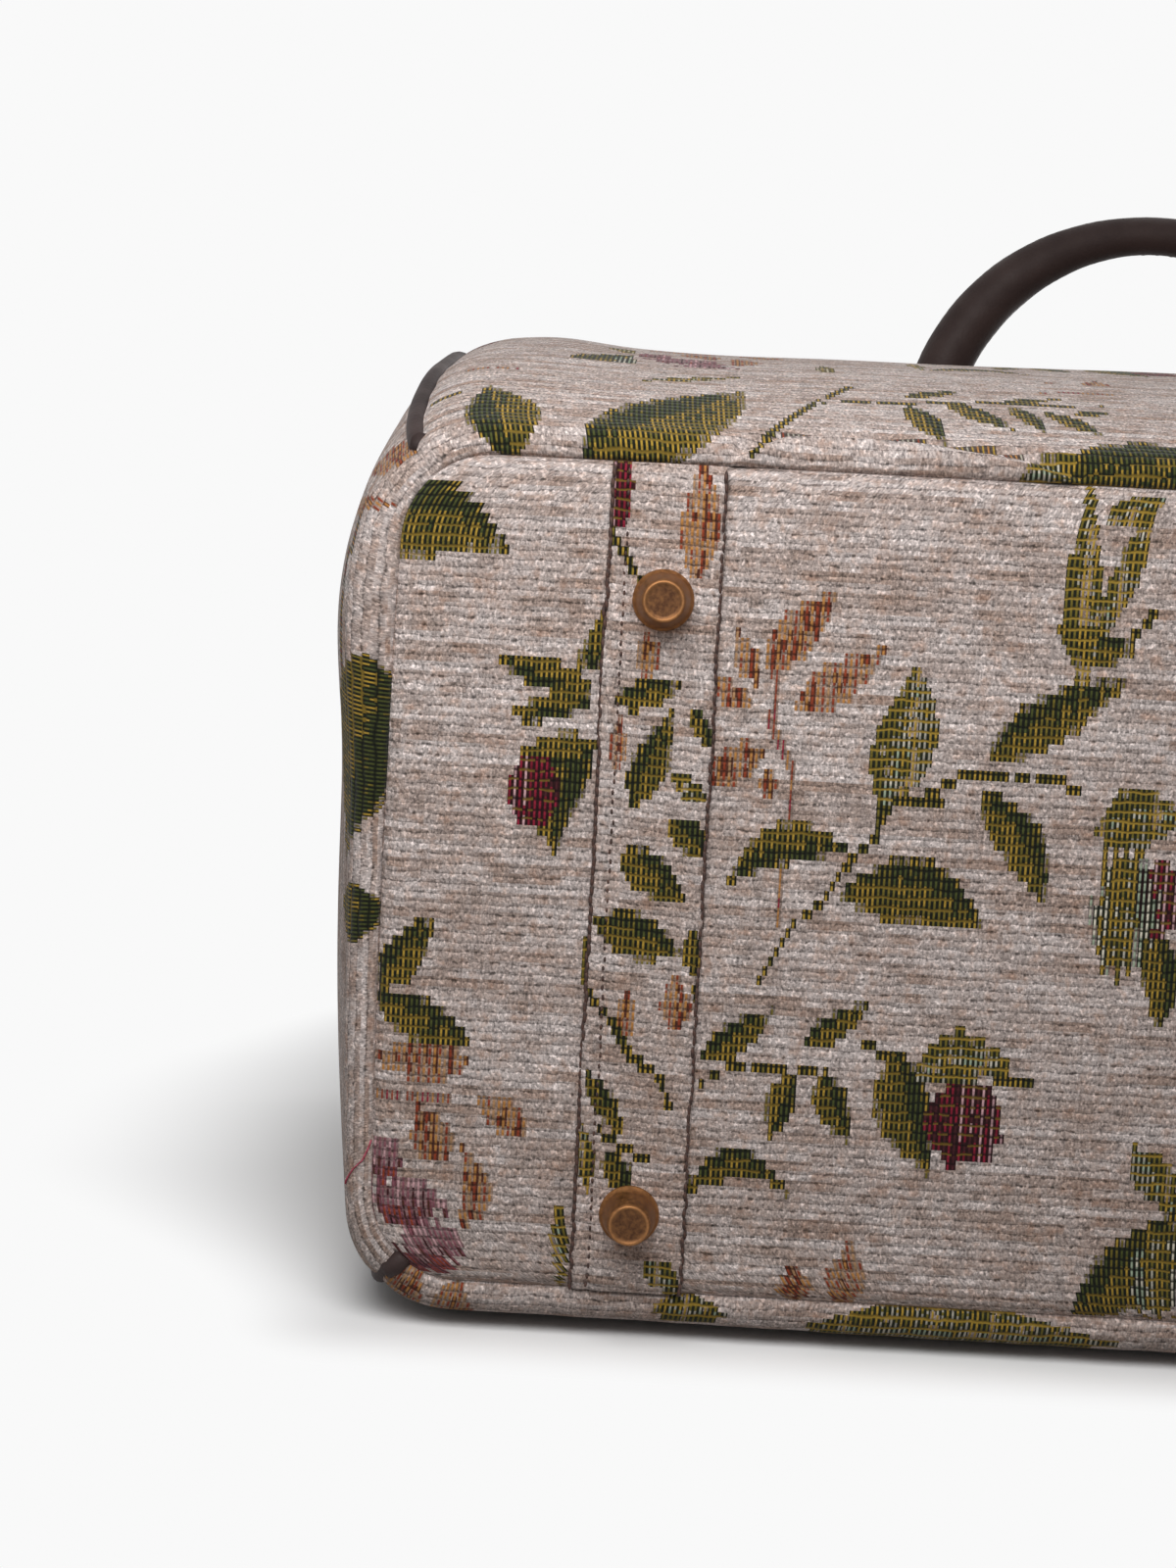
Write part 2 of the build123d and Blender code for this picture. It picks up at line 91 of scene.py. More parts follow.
def put_mesh(name, points, quads, material, body, uv=None, cells=None):
    """Mesh from points in millimetres and quads (m, 4); uv is per corner (m, 4, 2), and cells per face."""
    points = points.reshape(-1, 3) * MM
    mesh = bpy.data.meshes.new(name)
    mesh.vertices.add(len(points))
    mesh.vertices.foreach_set("co", np.ascontiguousarray(points, dtype=np.float32).ravel())
    mesh.loops.add(quads.size)
    mesh.loops.foreach_set("vertex_index", np.ascontiguousarray(quads, dtype=np.int32).ravel())
    mesh.polygons.add(len(quads))
    mesh.polygons.foreach_set("loop_start", np.arange(len(quads), dtype=np.int32) * 4)
    mesh.polygons.foreach_set("loop_total", np.full(len(quads), 4, dtype=np.int32))
    mesh.update(calc_edges=True)
    mesh.polygons.foreach_set("use_smooth", np.full(len(quads), True))
    if uv is not None:
        layer = mesh.uv_layers.new(name="threads")
        layer.data.foreach_set("uv", np.ascontiguousarray(uv, dtype=np.float32).ravel())
    for key, value in (cells or {}).items():
        layer = mesh.color_attributes.new(key, "FLOAT_COLOR", "CORNER")
        layer.data.foreach_set("color", np.repeat(value.reshape(-1, 4), 4, axis=0).astype(np.float32).ravel())
    mesh.materials.append(material)
    made = bpy.data.objects.new(name, mesh)
    bpy.context.scene.collection.objects.link(made)
    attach(made, body)
    return made


def grid_quads(rows, columns, wrap=False):
    """Quads of a grid of points, counted along the columns; wrap joins the last column to the first."""
    last = columns if wrap else columns - 1
    r, c = np.meshgrid(np.arange(rows - 1), np.arange(last), indexing="ij")
    near, far = c, (c + 1) % columns
    quad = [r * columns + near, r * columns + far, (r + 1) * columns + far, (r + 1) * columns + near]
    return np.stack(quad, axis=-1).reshape(-1, 4)


def grid_uv(rows, columns):
    """Per-corner UV that counts threads across and rows along."""
    r, c = np.meshgrid(np.arange(rows - 1), np.arange(columns - 1), indexing="ij")
    corners = [(c, r), (c + 1, r), (c + 1, r + 1), (c, r + 1)]
    return np.stack([np.stack(pair, axis=-1) for pair in corners], axis=2).reshape(-1, 4, 2)


def bell(offset, half):
    """A bell of height one: e to the minus square of an offset over the bell's half width."""
    return np.exp(-((offset / half) ** 2))


def flat_top(share, power=6):
    """A flat top with rounded sides, for shares from -1 to 1: the cube root of one less a high power."""
    return (1 - np.abs(share) ** power) ** (1 / 3)


def unit(vectors):
    """Vectors brought to a length of one."""
    return vectors / np.linalg.norm(vectors, axis=-1, keepdims=True)


def cell_middles(grid):
    """The mean of each cell's four corners."""
    return (grid[:-1, :-1] + grid[1:, :-1] + grid[:-1, 1:] + grid[1:, 1:]) / 4


print("helpers ready")

# %% [markdown]
# ## The body's shape
# The bag is soft, but its seams and the things inside it keep a clear form: a flat base, a crest a little
# past the middle of its height, and a narrower top. It could be simulated from flat cloth, but then each
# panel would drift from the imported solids. Here each cross-section is a rounded rectangle with bowed
# sides, and its sizes follow smooth curves through a few stations of the height, as a pattern cutter
# would draw them.

# %% Sections of the body
# Lengths in millimetres, and for each size its share at every station of the height
BASE_WIDTH, BASE_DEPTH, BASE_LIFT = 400.0, 179.0, 11.0
BODY_HEIGHT, WALL, CORNER = 260.0, 4.0, 24.0
SIDE_BULGE, SIDE_BOW, FRONT_BULGE = 10.0, 14.0, 27.0
TOP_HALF, TOP_DROP, TOP_LIFT = 196.0, 85.0, 38.0
HEIGHT_SHARES = np.array([0, 0.025, 0.07, 0.16, 0.30, 0.46, 0.60, 0.70, 0.78, 0.86, 0.93, 1.0])
SIDE_SHARES = np.array([0, 0.35, 0.65, 0.90, 1.0, 1.0, 0.95, 0.85, 0.70, 0.48, 0.25, 0])
TAPER_SHARES = np.array([0, 0, 0, 0, 0, 0, 0.03, 0.10, 0.25, 0.50, 0.75, 1.0])
BOW_SHARES = np.array([0.15, 0.30, 0.50, 0.75, 0.95, 1.0, 0.97, 0.90, 0.78, 0.60, 0.45, 0.30])
EDGE_SHARES = np.array([1.0, 0.42, 0.08, 0, 0, 0, 0, 0, 0, 0, 0, 0])
LIFT_SHARES = np.array([0, 0, 0, 0, 0, 0, 0, 0, 0.11, 0.36, 0.66, 1.0])
BULGE_SHARES = np.array([0, 0.14, 0.32, 0.60, 0.87, 1.0, 1.0, 1.0, 1.0, 1.0, 1.0, 1.0])
DROP_SHARES = np.array([0, 0, 0, 0, 0, 0, 0.04, 0.14, 0.28, 0.51, 0.745, 1.0])
ROLL_LENGTH, HEM_LENGTH = 18.0, 7.0  # over which the cloth rolls out of the base seam and into the top one
FLOOR_GAP = 0.3  # left under the back panel


def through(values, at):
    """A cubic from station to station, whose slope at each is a weighted mean of its two chords."""
    x = HEIGHT_SHARES
    slope = np.gradient(values, x)
    i = np.clip(np.searchsorted(x, at, side="right") - 1, 0, len(x) - 2)
    h = x[i + 1] - x[i]
    t = (at - x[i]) / h
    start = (1 + 2 * t) * (1 - t) ** 2 * values[i] + t * (1 - t) ** 2 * h * slope[i]
    end = t**2 * (3 - 2 * t) * values[i + 1] + t**2 * (t - 1) * h * slope[i + 1]
    return start + end


class Section:
    """Sizes of the body's outline at heights given as shares; all lengths in millimetres."""

    def __init__(self, share):
        self.y = BODY_HEIGHT * (share - 0.5)
        base_half = BASE_WIDTH / 2 + WALL
        taper = (TOP_HALF - base_half) * through(TAPER_SHARES, share)
        half_width = base_half + taper + SIDE_BULGE * through(SIDE_SHARES, share)
        lift = TOP_LIFT * through(LIFT_SHARES, share) + (BASE_LIFT - WALL) * through(EDGE_SHARES, share)
        self.back = np.maximum(lift, FLOOR_GAP)
        bulge = FRONT_BULGE * through(BULGE_SHARES, share) - TOP_DROP * through(DROP_SHARES, share)
        self.front = BASE_LIFT + BASE_DEPTH + WALL + bulge
        self.middle = (self.front + self.back) / 2
        self.half_depth = (self.front - self.back) / 2
        bow = SIDE_BOW * through(BOW_SHARES, share)
        self.side_radius = (self.half_depth**2 + bow**2) / (2 * bow)
        self.side_centre = half_width - self.side_radius
        self.corner_z = self.half_depth - CORNER
        self.side_angle = np.arcsin(self.corner_z / (self.side_radius - CORNER))
        self.corner_x = self.side_centre + (self.side_radius - CORNER) * np.cos(self.side_angle)
        self.seam_angle = (np.pi / 2 + self.side_angle) / 2
        rolled = np.clip(1 - BODY_HEIGHT * share / ROLL_LENGTH, 0, 1)
        hemmed = np.clip(1 - BODY_HEIGHT * (1 - share) / HEM_LENGTH, 0, 1)
        self.grow = -WALL * (2 - np.sqrt(1 - rolled**2) - np.sqrt(1 - hemmed**2))


def broad_point(share, across, up):
    """Front (up 1) or back (up -1) panel: level as far as the corner, then round the corner's arc.

    across is the signed distance from the middle, measured on the surface.
    """
    s = Section(share)
    turn = np.maximum(np.abs(across) - s.corner_x, 0) / CORNER
    radius = CORNER + s.grow
    x = np.sign(across) * (np.minimum(np.abs(across), s.corner_x) + radius * np.sin(turn))
    z = s.middle + up * (s.corner_z + radius * np.cos(turn))
    return np.stack(np.broadcast_arrays(x, s.y, z), axis=-1)


def side_point(share, across, right):
    """Gusset (right 1 or -1): along the bowed side's arc, then round the corner's arc at either end."""
    s = Section(share)
    bowed = s.side_radius * s.side_angle
    lean = np.clip(across, -bowed, bowed) / s.side_radius
    turn = np.sign(across) * (s.side_angle + np.maximum(np.abs(across) - bowed, 0) / CORNER)
    on_corner = np.abs(across) > bowed
    x = np.where(on_corner, s.corner_x + (CORNER + s.grow) * np.cos(turn),
                 s.side_centre + (s.side_radius + s.grow) * np.cos(lean))
    z = np.where(on_corner, np.sign(across) * s.corner_z + (CORNER + s.grow) * np.sin(turn),
                 (s.side_radius + s.grow) * np.sin(lean))
    return np.stack(np.broadcast_arrays(right * x, s.y, s.middle + z), axis=-1)


crest = Section(np.linspace(0, 1, 101)).front.max()
print(f"crest of the front panel at z {crest:.1f} mm")

# %% [markdown]
# ## The weave
# Tapestry of this kind is a jacquard: a fuzzy chenille weft makes the pale ground, and coloured warp
# threads are brought to the face only where a leaf or a bud is wanted, so every edge of a figure is
# stepped. It could be painted as an image, but a weave is really a small chart: one colour per crossing.
# So each face of a panel is one crossing, and simple shapes (a blade, a line, an oval) say which
# crossings are figured. Each crossing holds two yarns: the float that shows, and the yarn behind it.

# %% Yarns and figure shapes
WARP_PITCH = 1.1  # mm between warp threads
ROW_PITCH = 2.1  # mm between rows of chenille
GROUND_PALE, GROUND_DEEP = linear("#c6bab6"), linear("#a08b80")
DARK_GREEN, MOSS, PALE_GREEN = linear("#171a11"), linear("#454a24"), linear("#93a08a")
MUSTARD, OLIVE, CREAM = linear("#a38534"), linear("#6b6026"), linear("#cfc8b6")
CRIMSON, ROSE, MAROON = linear("#861f33"), linear("#c39a9e"), linear("#2a1013")
RUST, ORANGE, TAN = linear("#883b25"), linear("#ab7740"), linear("#a47f5c")
MAUVE, BROWN = linear("#82505a"), linear("#4a2a20")
THIN_HALF, FLOAT_HALF, BOLD_HALF = 0.22, 0.26, 0.29  # half widths of floats, in shares of a warp thread


def smoothed(noise, cells):
    """Noise along a row averaged over a run of cells, brought back to a spread of one."""
    total = np.cumsum(np.pad(noise, ((0, 0), (cells, 0)), mode="wrap"), axis=1)
    run = total[:, cells:] - total[:, :-cells]
    return run / run.std()


def either(mask, yes, no):
    """One yarn where the mask is true, another elsewhere."""
    return np.where(mask[..., None], yes, no)


class Cloth:
    """A chart of crossings: where each is on its panel, in millimetres, and its two yarns."""

    def __init__(self, u, v, seed):
        self.u, self.v = u, v
        self.every_other = np.floor(u / WARP_PITCH) % 2 > 0
        rng = np.random.default_rng(seed)
        loose, thread = rng.random(u.shape), rng.random((1, u.shape[1]))
        self.grain = np.where(rng.random(u.shape) < 0.6, thread, loose)
        streak = smoothed(rng.normal(size=u.shape), 12) + 0.7 * smoothed(rng.normal(size=u.shape), 4)
        streak += 0.7 * rng.normal(size=(u.shape[0], 1))
        share = np.clip(0.55 + 0.22 * streak, 0, 1)[..., None]
        self.behind = GROUND_DEEP * (1 - share) + GROUND_PALE * share
        self.float = self.behind.copy()
        self.width, self.gap, self.weft = np.zeros((3, *u.shape))

    def pick(self, *yarns):
        """One of several yarns at each crossing, by its grain."""
        index = np.minimum((self.grain * len(yarns)).astype(int), len(yarns) - 1)
        return np.stack(yarns)[index]

    def lay(self, mask, top, under, width, gap, weft=0.0):
        """Bring a float to the face at the masked crossings, with some mustard weft at the rows' edges."""
        self.float[mask] = np.broadcast_to(top, self.float.shape)[mask]
        self.behind[mask] = np.broadcast_to(under, self.behind.shape)[mask]
        self.width[mask] = width
        self.gap[mask] = gap
        self.weft[mask] = np.broadcast_to(weft, self.weft.shape)[mask]

    def blade_frame(self, place):
        """Along and across a blade: t runs 0 to 1 from base to tip, side -1 to 1 over its width.

        The width follows a sine of t, and the midrib bows sideways by a parabola.
        """
        x0, z0, x1, z1, width, bow = place
        ax, az = x1 - x0, z1 - z0
        length = np.hypot(ax, az)
        t = ((self.u - x0) * ax + (self.v - z0) * az) / length**2
        offset = ((self.v - z0) * ax - (self.u - x0) * az) / length - 4 * bow * t * (1 - t)
        half = width / 2 * np.sin(np.pi * np.clip(t, 0, 1) ** 0.8)
        side = offset / np.maximum(half, 0.01)
        return t, side, (t > 0) & (t < 1) & (np.abs(side) < 1)

    def leaf(self, *place):
        """Moss green on one side of the midrib, mustard on the other, at the rib and at the rim."""
        t, side, inside = self.blade_frame(place)
        shade = side + 0.8 * (t - 0.5) + 0.5 * (self.grain - 0.5)
        warm = (shade < -0.05) | (np.abs(side) < 0.13)
        rim = (t > 0.85) | (np.abs(side) > 0.82)
        top = either(warm, self.pick(MUSTARD, OLIVE, MUSTARD, OLIVE), self.pick(MOSS, OLIVE, MOSS))
        top = either(rim, self.pick(MUSTARD, OLIVE), top)
        under = either(rim & (self.grain > 0.55), 0.5 * self.behind, DARK_GREEN)
        self.lay(inside, top, under, FLOAT_HALF, 1.0, 0.45 * warm)

    def olive(self, *place):
        """A lighter leaf: olive, mustard and cream between dark threads, mustard weft at each row's edge."""
        t, side, inside = self.blade_frame(place)
        plain = side + 0.6 * (self.grain - 0.5) > 0.35
        top = either(plain, OLIVE, self.pick(OLIVE, 0.55 * CREAM, MUSTARD))
        top = either(np.abs(side) < 0.2, self.pick(0.8 * CREAM, PALE_GREEN, MUSTARD), top)
        under = either(self.grain > 0.88, 0.6 * self.behind, 1.6 * DARK_GREEN)
        self.lay(inside, top, under, FLOAT_HALF, 1.0, 0.8)

    def rust(self, *place):
        """Rust and orange floats by turns, with brown between them in the middle and ground at the rim."""
        t, side, inside = self.blade_frame(place)
        top = either(self.every_other, self.pick(RUST, ORANGE, RUST), self.pick(ORANGE, TAN, ORANGE))
        deep = np.abs(side) + 1.6 * (self.grain - 0.5) < 0.15
        under = either(deep, 1.3 * BROWN, 0.45 * self.behind + 0.26 * ORANGE)
        self.lay(inside, top, under, BOLD_HALF, 0.9)

    def line(self, points, width, top, under, half, gap):
        """A stem: crossings within half a width of a run of straight pieces, with a few left out."""
        for (x0, z0), (x1, z1) in zip(points[:-1], points[1:]):
            ax, az = x1 - x0, z1 - z0
            t = np.clip(((self.u - x0) * ax + (self.v - z0) * az) / (ax**2 + az**2), 0, 1)
            away = np.hypot(self.u - x0 - t * ax, self.v - z0 - t * az)
            self.lay((away < width / 2) & (self.grain > 0.06), top, under, half, gap)

    def stem(self, *points):
        """A green stem."""
        self.line(points, 1.7, self.pick(MUSTARD, OLIVE, MUSTARD), DARK_GREEN, FLOAT_HALF, 1.0)

    def twig(self, *points):
        """A thin red stem on the bare ground."""
        self.line(points, 1.8, self.pick(RUST, CRIMSON, ORANGE), 0.8 * GROUND_DEEP, THIN_HALF, 0.3)

    def open_row(self, *points):
        """A row pulled open along a fold, where the warp's own colours show as dots over painted shade: the
        ground darkened in the opening.
        """
        top = self.pick(RUST, MUSTARD, ORANGE, 0.6 * CREAM)
        # The yarn behind, a fifth of the ground's colour, is painted shade in the opening
        self.line(points, 2.2, top, 0.2 * GROUND_DEEP, THIN_HALF, 0.6)

    def reach(self, place, ragged):
        """Distance from an oval's middle as a share of its size, with a ragged rim."""
        cx, cz, rx, rz = place
        return np.hypot((self.u - cx) / rx, (self.v - cz) / rz) + ragged * (self.grain - 0.5)

    def bud(self, x, z, half_width, half_height, lit_side):
        """Crimson floats, every other one rose where lit, over maroon, with mustard weft showing through."""
        lit = lit_side * (self.u - x) / half_width + 0.3 * (self.v - z) / half_height
        rosy = (lit + 0.8 * (self.grain - 0.5) > 0.05) & self.every_other
        top = self.pick(CRIMSON, 2.5 * MAROON, CRIMSON, 0.7 * CRIMSON)
        top = either(rosy, self.pick(0.7 * ROSE, ROSE), top)
        inside = self.reach((x, z, half_width, half_height), 0.15) < 1
        self.lay(inside, top, MAROON, FLOAT_HALF, 1.0, 0.35 * (self.grain > 0.35))

    def blush(self, *place):
        """A faded flower: mauve over dull rose, browner below."""
        low = (self.v - place[1]) / place[3] + 0.8 * (self.grain - 0.5) < -0.2
        top = either(low, self.pick(BROWN, RUST, MAROON), self.pick(MAUVE, ROSE, MAUVE, 2 * MAROON))
        under = either(low, 0.8 * MAUVE, 0.3 * self.behind + 0.5 * MAUVE)
        self.lay(self.reach(place, 0.5) < 1, top, under, FLOAT_HALF, 0.6)

    def petal(self, *place):
        """Cream and pale green between dark dots, with a mustard middle."""
        middle = np.abs(self.u - place[0]) / place[2] + 0.6 * (self.grain - 0.5) < 0.4
        edge = self.pick(0.8 * CREAM, PALE_GREEN, CREAM)
        top = either(middle, self.pick(MUSTARD, OLIVE, 0.7 * CREAM, MUSTARD), edge)
        under = either(middle | (self.grain > 0.6), 1.6 * DARK_GREEN, 0.5 * self.behind)
        self.lay(self.reach(place, 0.4) < 1, top, under, FLOAT_HALF, 1.0, 0.6 * middle)

    def figures(self, lists):
        """Lay lists of places, each by the method that it is named for, in order."""
        for kind, places in lists.items():
            for place in places:
                getattr(self, kind)(*place)

    def chart(self):
        """Attributes of the cells: two yarns, and float width, row gap and weft as a colour's channels."""
        figure = np.stack([self.width, self.gap, self.weft, np.ones(self.u.shape)], axis=-1)
        yarns = {"float_yarn": self.float, "behind_yarn": self.behind}
        return {name: np.clip(yarn, 0, 1) for name, yarn in yarns.items()} | {"figure": figure}


print("weave of", WARP_PITCH, "by", ROW_PITCH, "mm")

# %% [markdown]
# ## The tapestry material
# Real chenille is a soft pile yarn: matt, with a slight sheen at grazing angles and soft gaps between its
# rows, with a dark dot here and there where a warp thread binds a row down; the dark of these gaps and dots
# is painted shade. A figured crossing shows one float in its middle with darker yarn on either side, and
# some show mustard weft at the edges of their row. The UV map counts threads, so its fraction says where in
# a crossing a point lies: a half sine over each row makes the round weft, and the distance from the middle
# of a thread makes the float. Tufts and specks of pile are noise from half a millimetre to a millimetre
# across: the pile's lighter and darker patches are partly painted light and shade, and the bright specks are
# painted highlights.

# %% Chenille tapestry
TUFT_WIDTH, TUFT_HEIGHT = 0.55, 0.8  # mm, a tuft of pile along its row and up it
# Specks are painted highlights; clumps that lean alike carry painted light and shade
SPECK_SIZE = 0.0008  # m, tufts whose cut ends face the light
CLUMP_SIZE = 0.0024  # m, clumps of tufts that lean alike
# Binding dots are painted shade in the gaps between rows
DOT_SIZE = 0.0012  # m, dark gaps where a warp thread binds a row down
WANDER_SIZE = 0.0045  # m, how far apart a row's bends are


def chenille_tapestry():
    """Woven cotton chenille: matt fuzzy rows, coloured floats, soft gaps between rows."""
    m, shader, place = new_material("chenille_tapestry")
    uv = node(m, "UVMap", uv_map="threads")
    wander = node(m, "TexNoise", {"Vector": place, "Scale": 1 / WANDER_SIZE, "Detail": 2.0})
    bend = node(m, "MapRange", {0: wander, 1: 0.25, 2: 0.75, 3: -0.18, 4: 0.18})
    split = node(m, "SeparateXYZ", {0: uv})
    row = node(m, "Math", {0: split.outputs["Y"], 1: bend}, operation="ADD")
    in_row = node(m, "Math", {0: row}, operation="FRACT")
    half_turn = node(m, "Math", {0: in_row, 1: np.pi}, operation="MULTIPLY")
    ridge = node(m, "Math", {0: half_turn}, operation="SINE")
    in_warp = node(m, "Math", {0: split.outputs["X"]}, operation="FRACT")
    off_thread = node(m, "Math", {0: in_warp, 1: 0.5}, operation="SUBTRACT")
    from_thread = node(m, "Math", {0: off_thread}, operation="ABSOLUTE")

    # Pile: fine tufts, lighter at their tips, in clumps that lean towards the light or away from it: painted
    # light and shade over random pile, with painted highlights on the brightest specks
    count = (WARP_PITCH / TUFT_WIDTH, ROW_PITCH / TUFT_HEIGHT, 1.0)
    counted = node(m, "Mapping", {"Vector": uv, "Scale": count})
    tufts = node(m, "TexNoise", {"Vector": counted, "Scale": 1.0, "Detail": 3.0, "Roughness": 0.6})
    clumps = node(m, "TexNoise", {"Vector": place, "Scale": 1 / CLUMP_SIZE, "Detail": 3.0})
    pile = node(m, "Math", {0: clumps, 1: 0.5, 2: tufts}, operation="MULTIPLY_ADD")
    specks = node(m, "TexNoise", {"Vector": place, "Scale": 1 / SPECK_SIZE, "Detail": 1.0})
    painted_glint_specks = node(m, "MapRange", {0: specks, 1: 0.56, 2: 0.7, 3: 0.0, 4: 0.75})
    pile_tone_and_painted_light = node(m, "MapRange", {0: pile, 1: 0.5, 2: 1.0, 3: 0.3, 4: 1.5})
    pile_tone_and_painted_light = node(m, "Math", {0: pile_tone_and_painted_light, 1: painted_glint_specks}, operation="ADD")
    under = node(m, "Attribute", attribute_name="behind_yarn")
    fuzzy = node(m, "Mix", {0: 1.0, 6: under.outputs["Color"], 7: pile_tone_and_painted_light}, data_type="RGBA",
                 blend_type="MULTIPLY")
    tan = node(m, "MapRange", {0: clumps, 1: 0.52, 2: 0.7, 3: 0.0, 4: 0.75})
    tanned = node(m, "Mix", {0: tan, 6: fuzzy.outputs[2], 7: linear("#d3c1b4")}, data_type="RGBA",
                  blend_type="MULTIPLY")

    # Painted shade in the gaps between the rows, closed here and there by the pile, with a dark dot of
    # painted shade where a thread binds
    closed = node(m, "MapRange", {0: tufts, 1: 0.36, 2: 0.62, 3: 0.5, 4: 0.1})
    painted_row_gap_shade = node(m, "MapRange", {0: ridge, 2: closed, 3: 0.5, 4: 1.0})
    dots = node(m, "TexNoise", {"Vector": place, "Scale": 1 / DOT_SIZE, "Detail": 0.0})
    painted_bind_dot_shade = node(m, "MapRange", {0: dots, 1: 0.64, 2: 0.74, 3: 1.0, 4: 0.4})
    low = node(m, "MapRange", {0: ridge, 1: 0.3, 2: 0.7, 3: 1.0, 4: 0.0})
    bound = node(m, "Mix", {0: low, 2: 1.0, 3: painted_bind_dot_shade})
    painted_gap_shade = node(m, "Math", {0: painted_row_gap_shade, 1: bound}, operation="MULTIPLY")
    ground = node(m, "Mix", {0: 1.0, 6: tanned.outputs[2], 7: painted_gap_shade}, data_type="RGBA",
                  blend_type="MULTIPLY")

    # Floats: a soft-edged thread in the middle of each crossing, dipping under at each row's edge
    figure = node(m, "Attribute", attribute_name="figure")
    channels = node(m, "SeparateColor", {0: figure.outputs["Color"]})
    inside = node(m, "Math", {0: channels, 1: from_thread}, operation="SUBTRACT")
    thread = node(m, "MapRange", {0: inside, 1: -0.02, 2: 0.12})
    open_row = node(m, "MapRange", {0: ridge, 1: 0.15, 2: 0.6, 3: 0.12, 4: 1.0})
    row_gap = node(m, "Mix", {0: channels.outputs[1], 2: 1.0, 3: open_row})
    shown = node(m, "Math", {0: thread, 1: row_gap}, operation="MULTIPLY")
    top = node(m, "Attribute", attribute_name="float_yarn")
    # The floats take the same pile pattern, partly painted light and shade
    twist = node(m, "MapRange", {0: pile, 1: 0.5, 2: 1.0, 3: 0.75, 4: 1.3})
    twisted = node(m, "Mix", {0: 1.0, 6: top.outputs["Color"], 7: twist}, data_type="RGBA",
                   blend_type="MULTIPLY")
    faced = node(m, "Mix", {0: shown, 6: ground.outputs[2], 7: twisted.outputs[2]}, data_type="RGBA")
    row_edge = node(m, "MapRange", {0: ridge, 1: 0.15, 2: 0.55, 3: 1.0, 4: 0.0})
    crossing = node(m, "Math", {0: row_edge, 1: channels.outputs[2]}, operation="MULTIPLY")
    colour = node(m, "Mix", {0: crossing, 6: faced.outputs[2], 7: tuple(MUSTARD)}, data_type="RGBA")

    round_row = node(m, "Math", {0: ridge, 1: 0.7, 2: pile}, operation="MULTIPLY_ADD")
    height = node(m, "Math", {0: shown, 1: 0.4, 2: round_row}, operation="MULTIPLY_ADD")
    bump = node(m, "Bump", {"Strength": 0.55, "Distance": 0.0006, "Height": height})
    connect(m, shader, {"Base Color": colour.outputs[2], "Normal": bump, "Roughness": 0.95,
                        "Specular IOR Level": 0.15, "Sheen Weight": 0.1})
    return m


TAPESTRY = chenille_tapestry()
print("made", TAPESTRY.name)

# %% [markdown]
# ## The figures of the cloth
# The pattern is a traditional one of sprigs: green leaves with a mustard side, crimson buds in green
# cups, and thin sprays of rust. A weaver keeps it as a chart for one repeat. Here the repeat is a table
# of blades, stems and ovals in millimetres of the base. The same repeat is used on every panel, shifted,
# as it falls when panels are cut from a bolt. The bands, and the strips of the walls beside the base, have
# figures of their own.

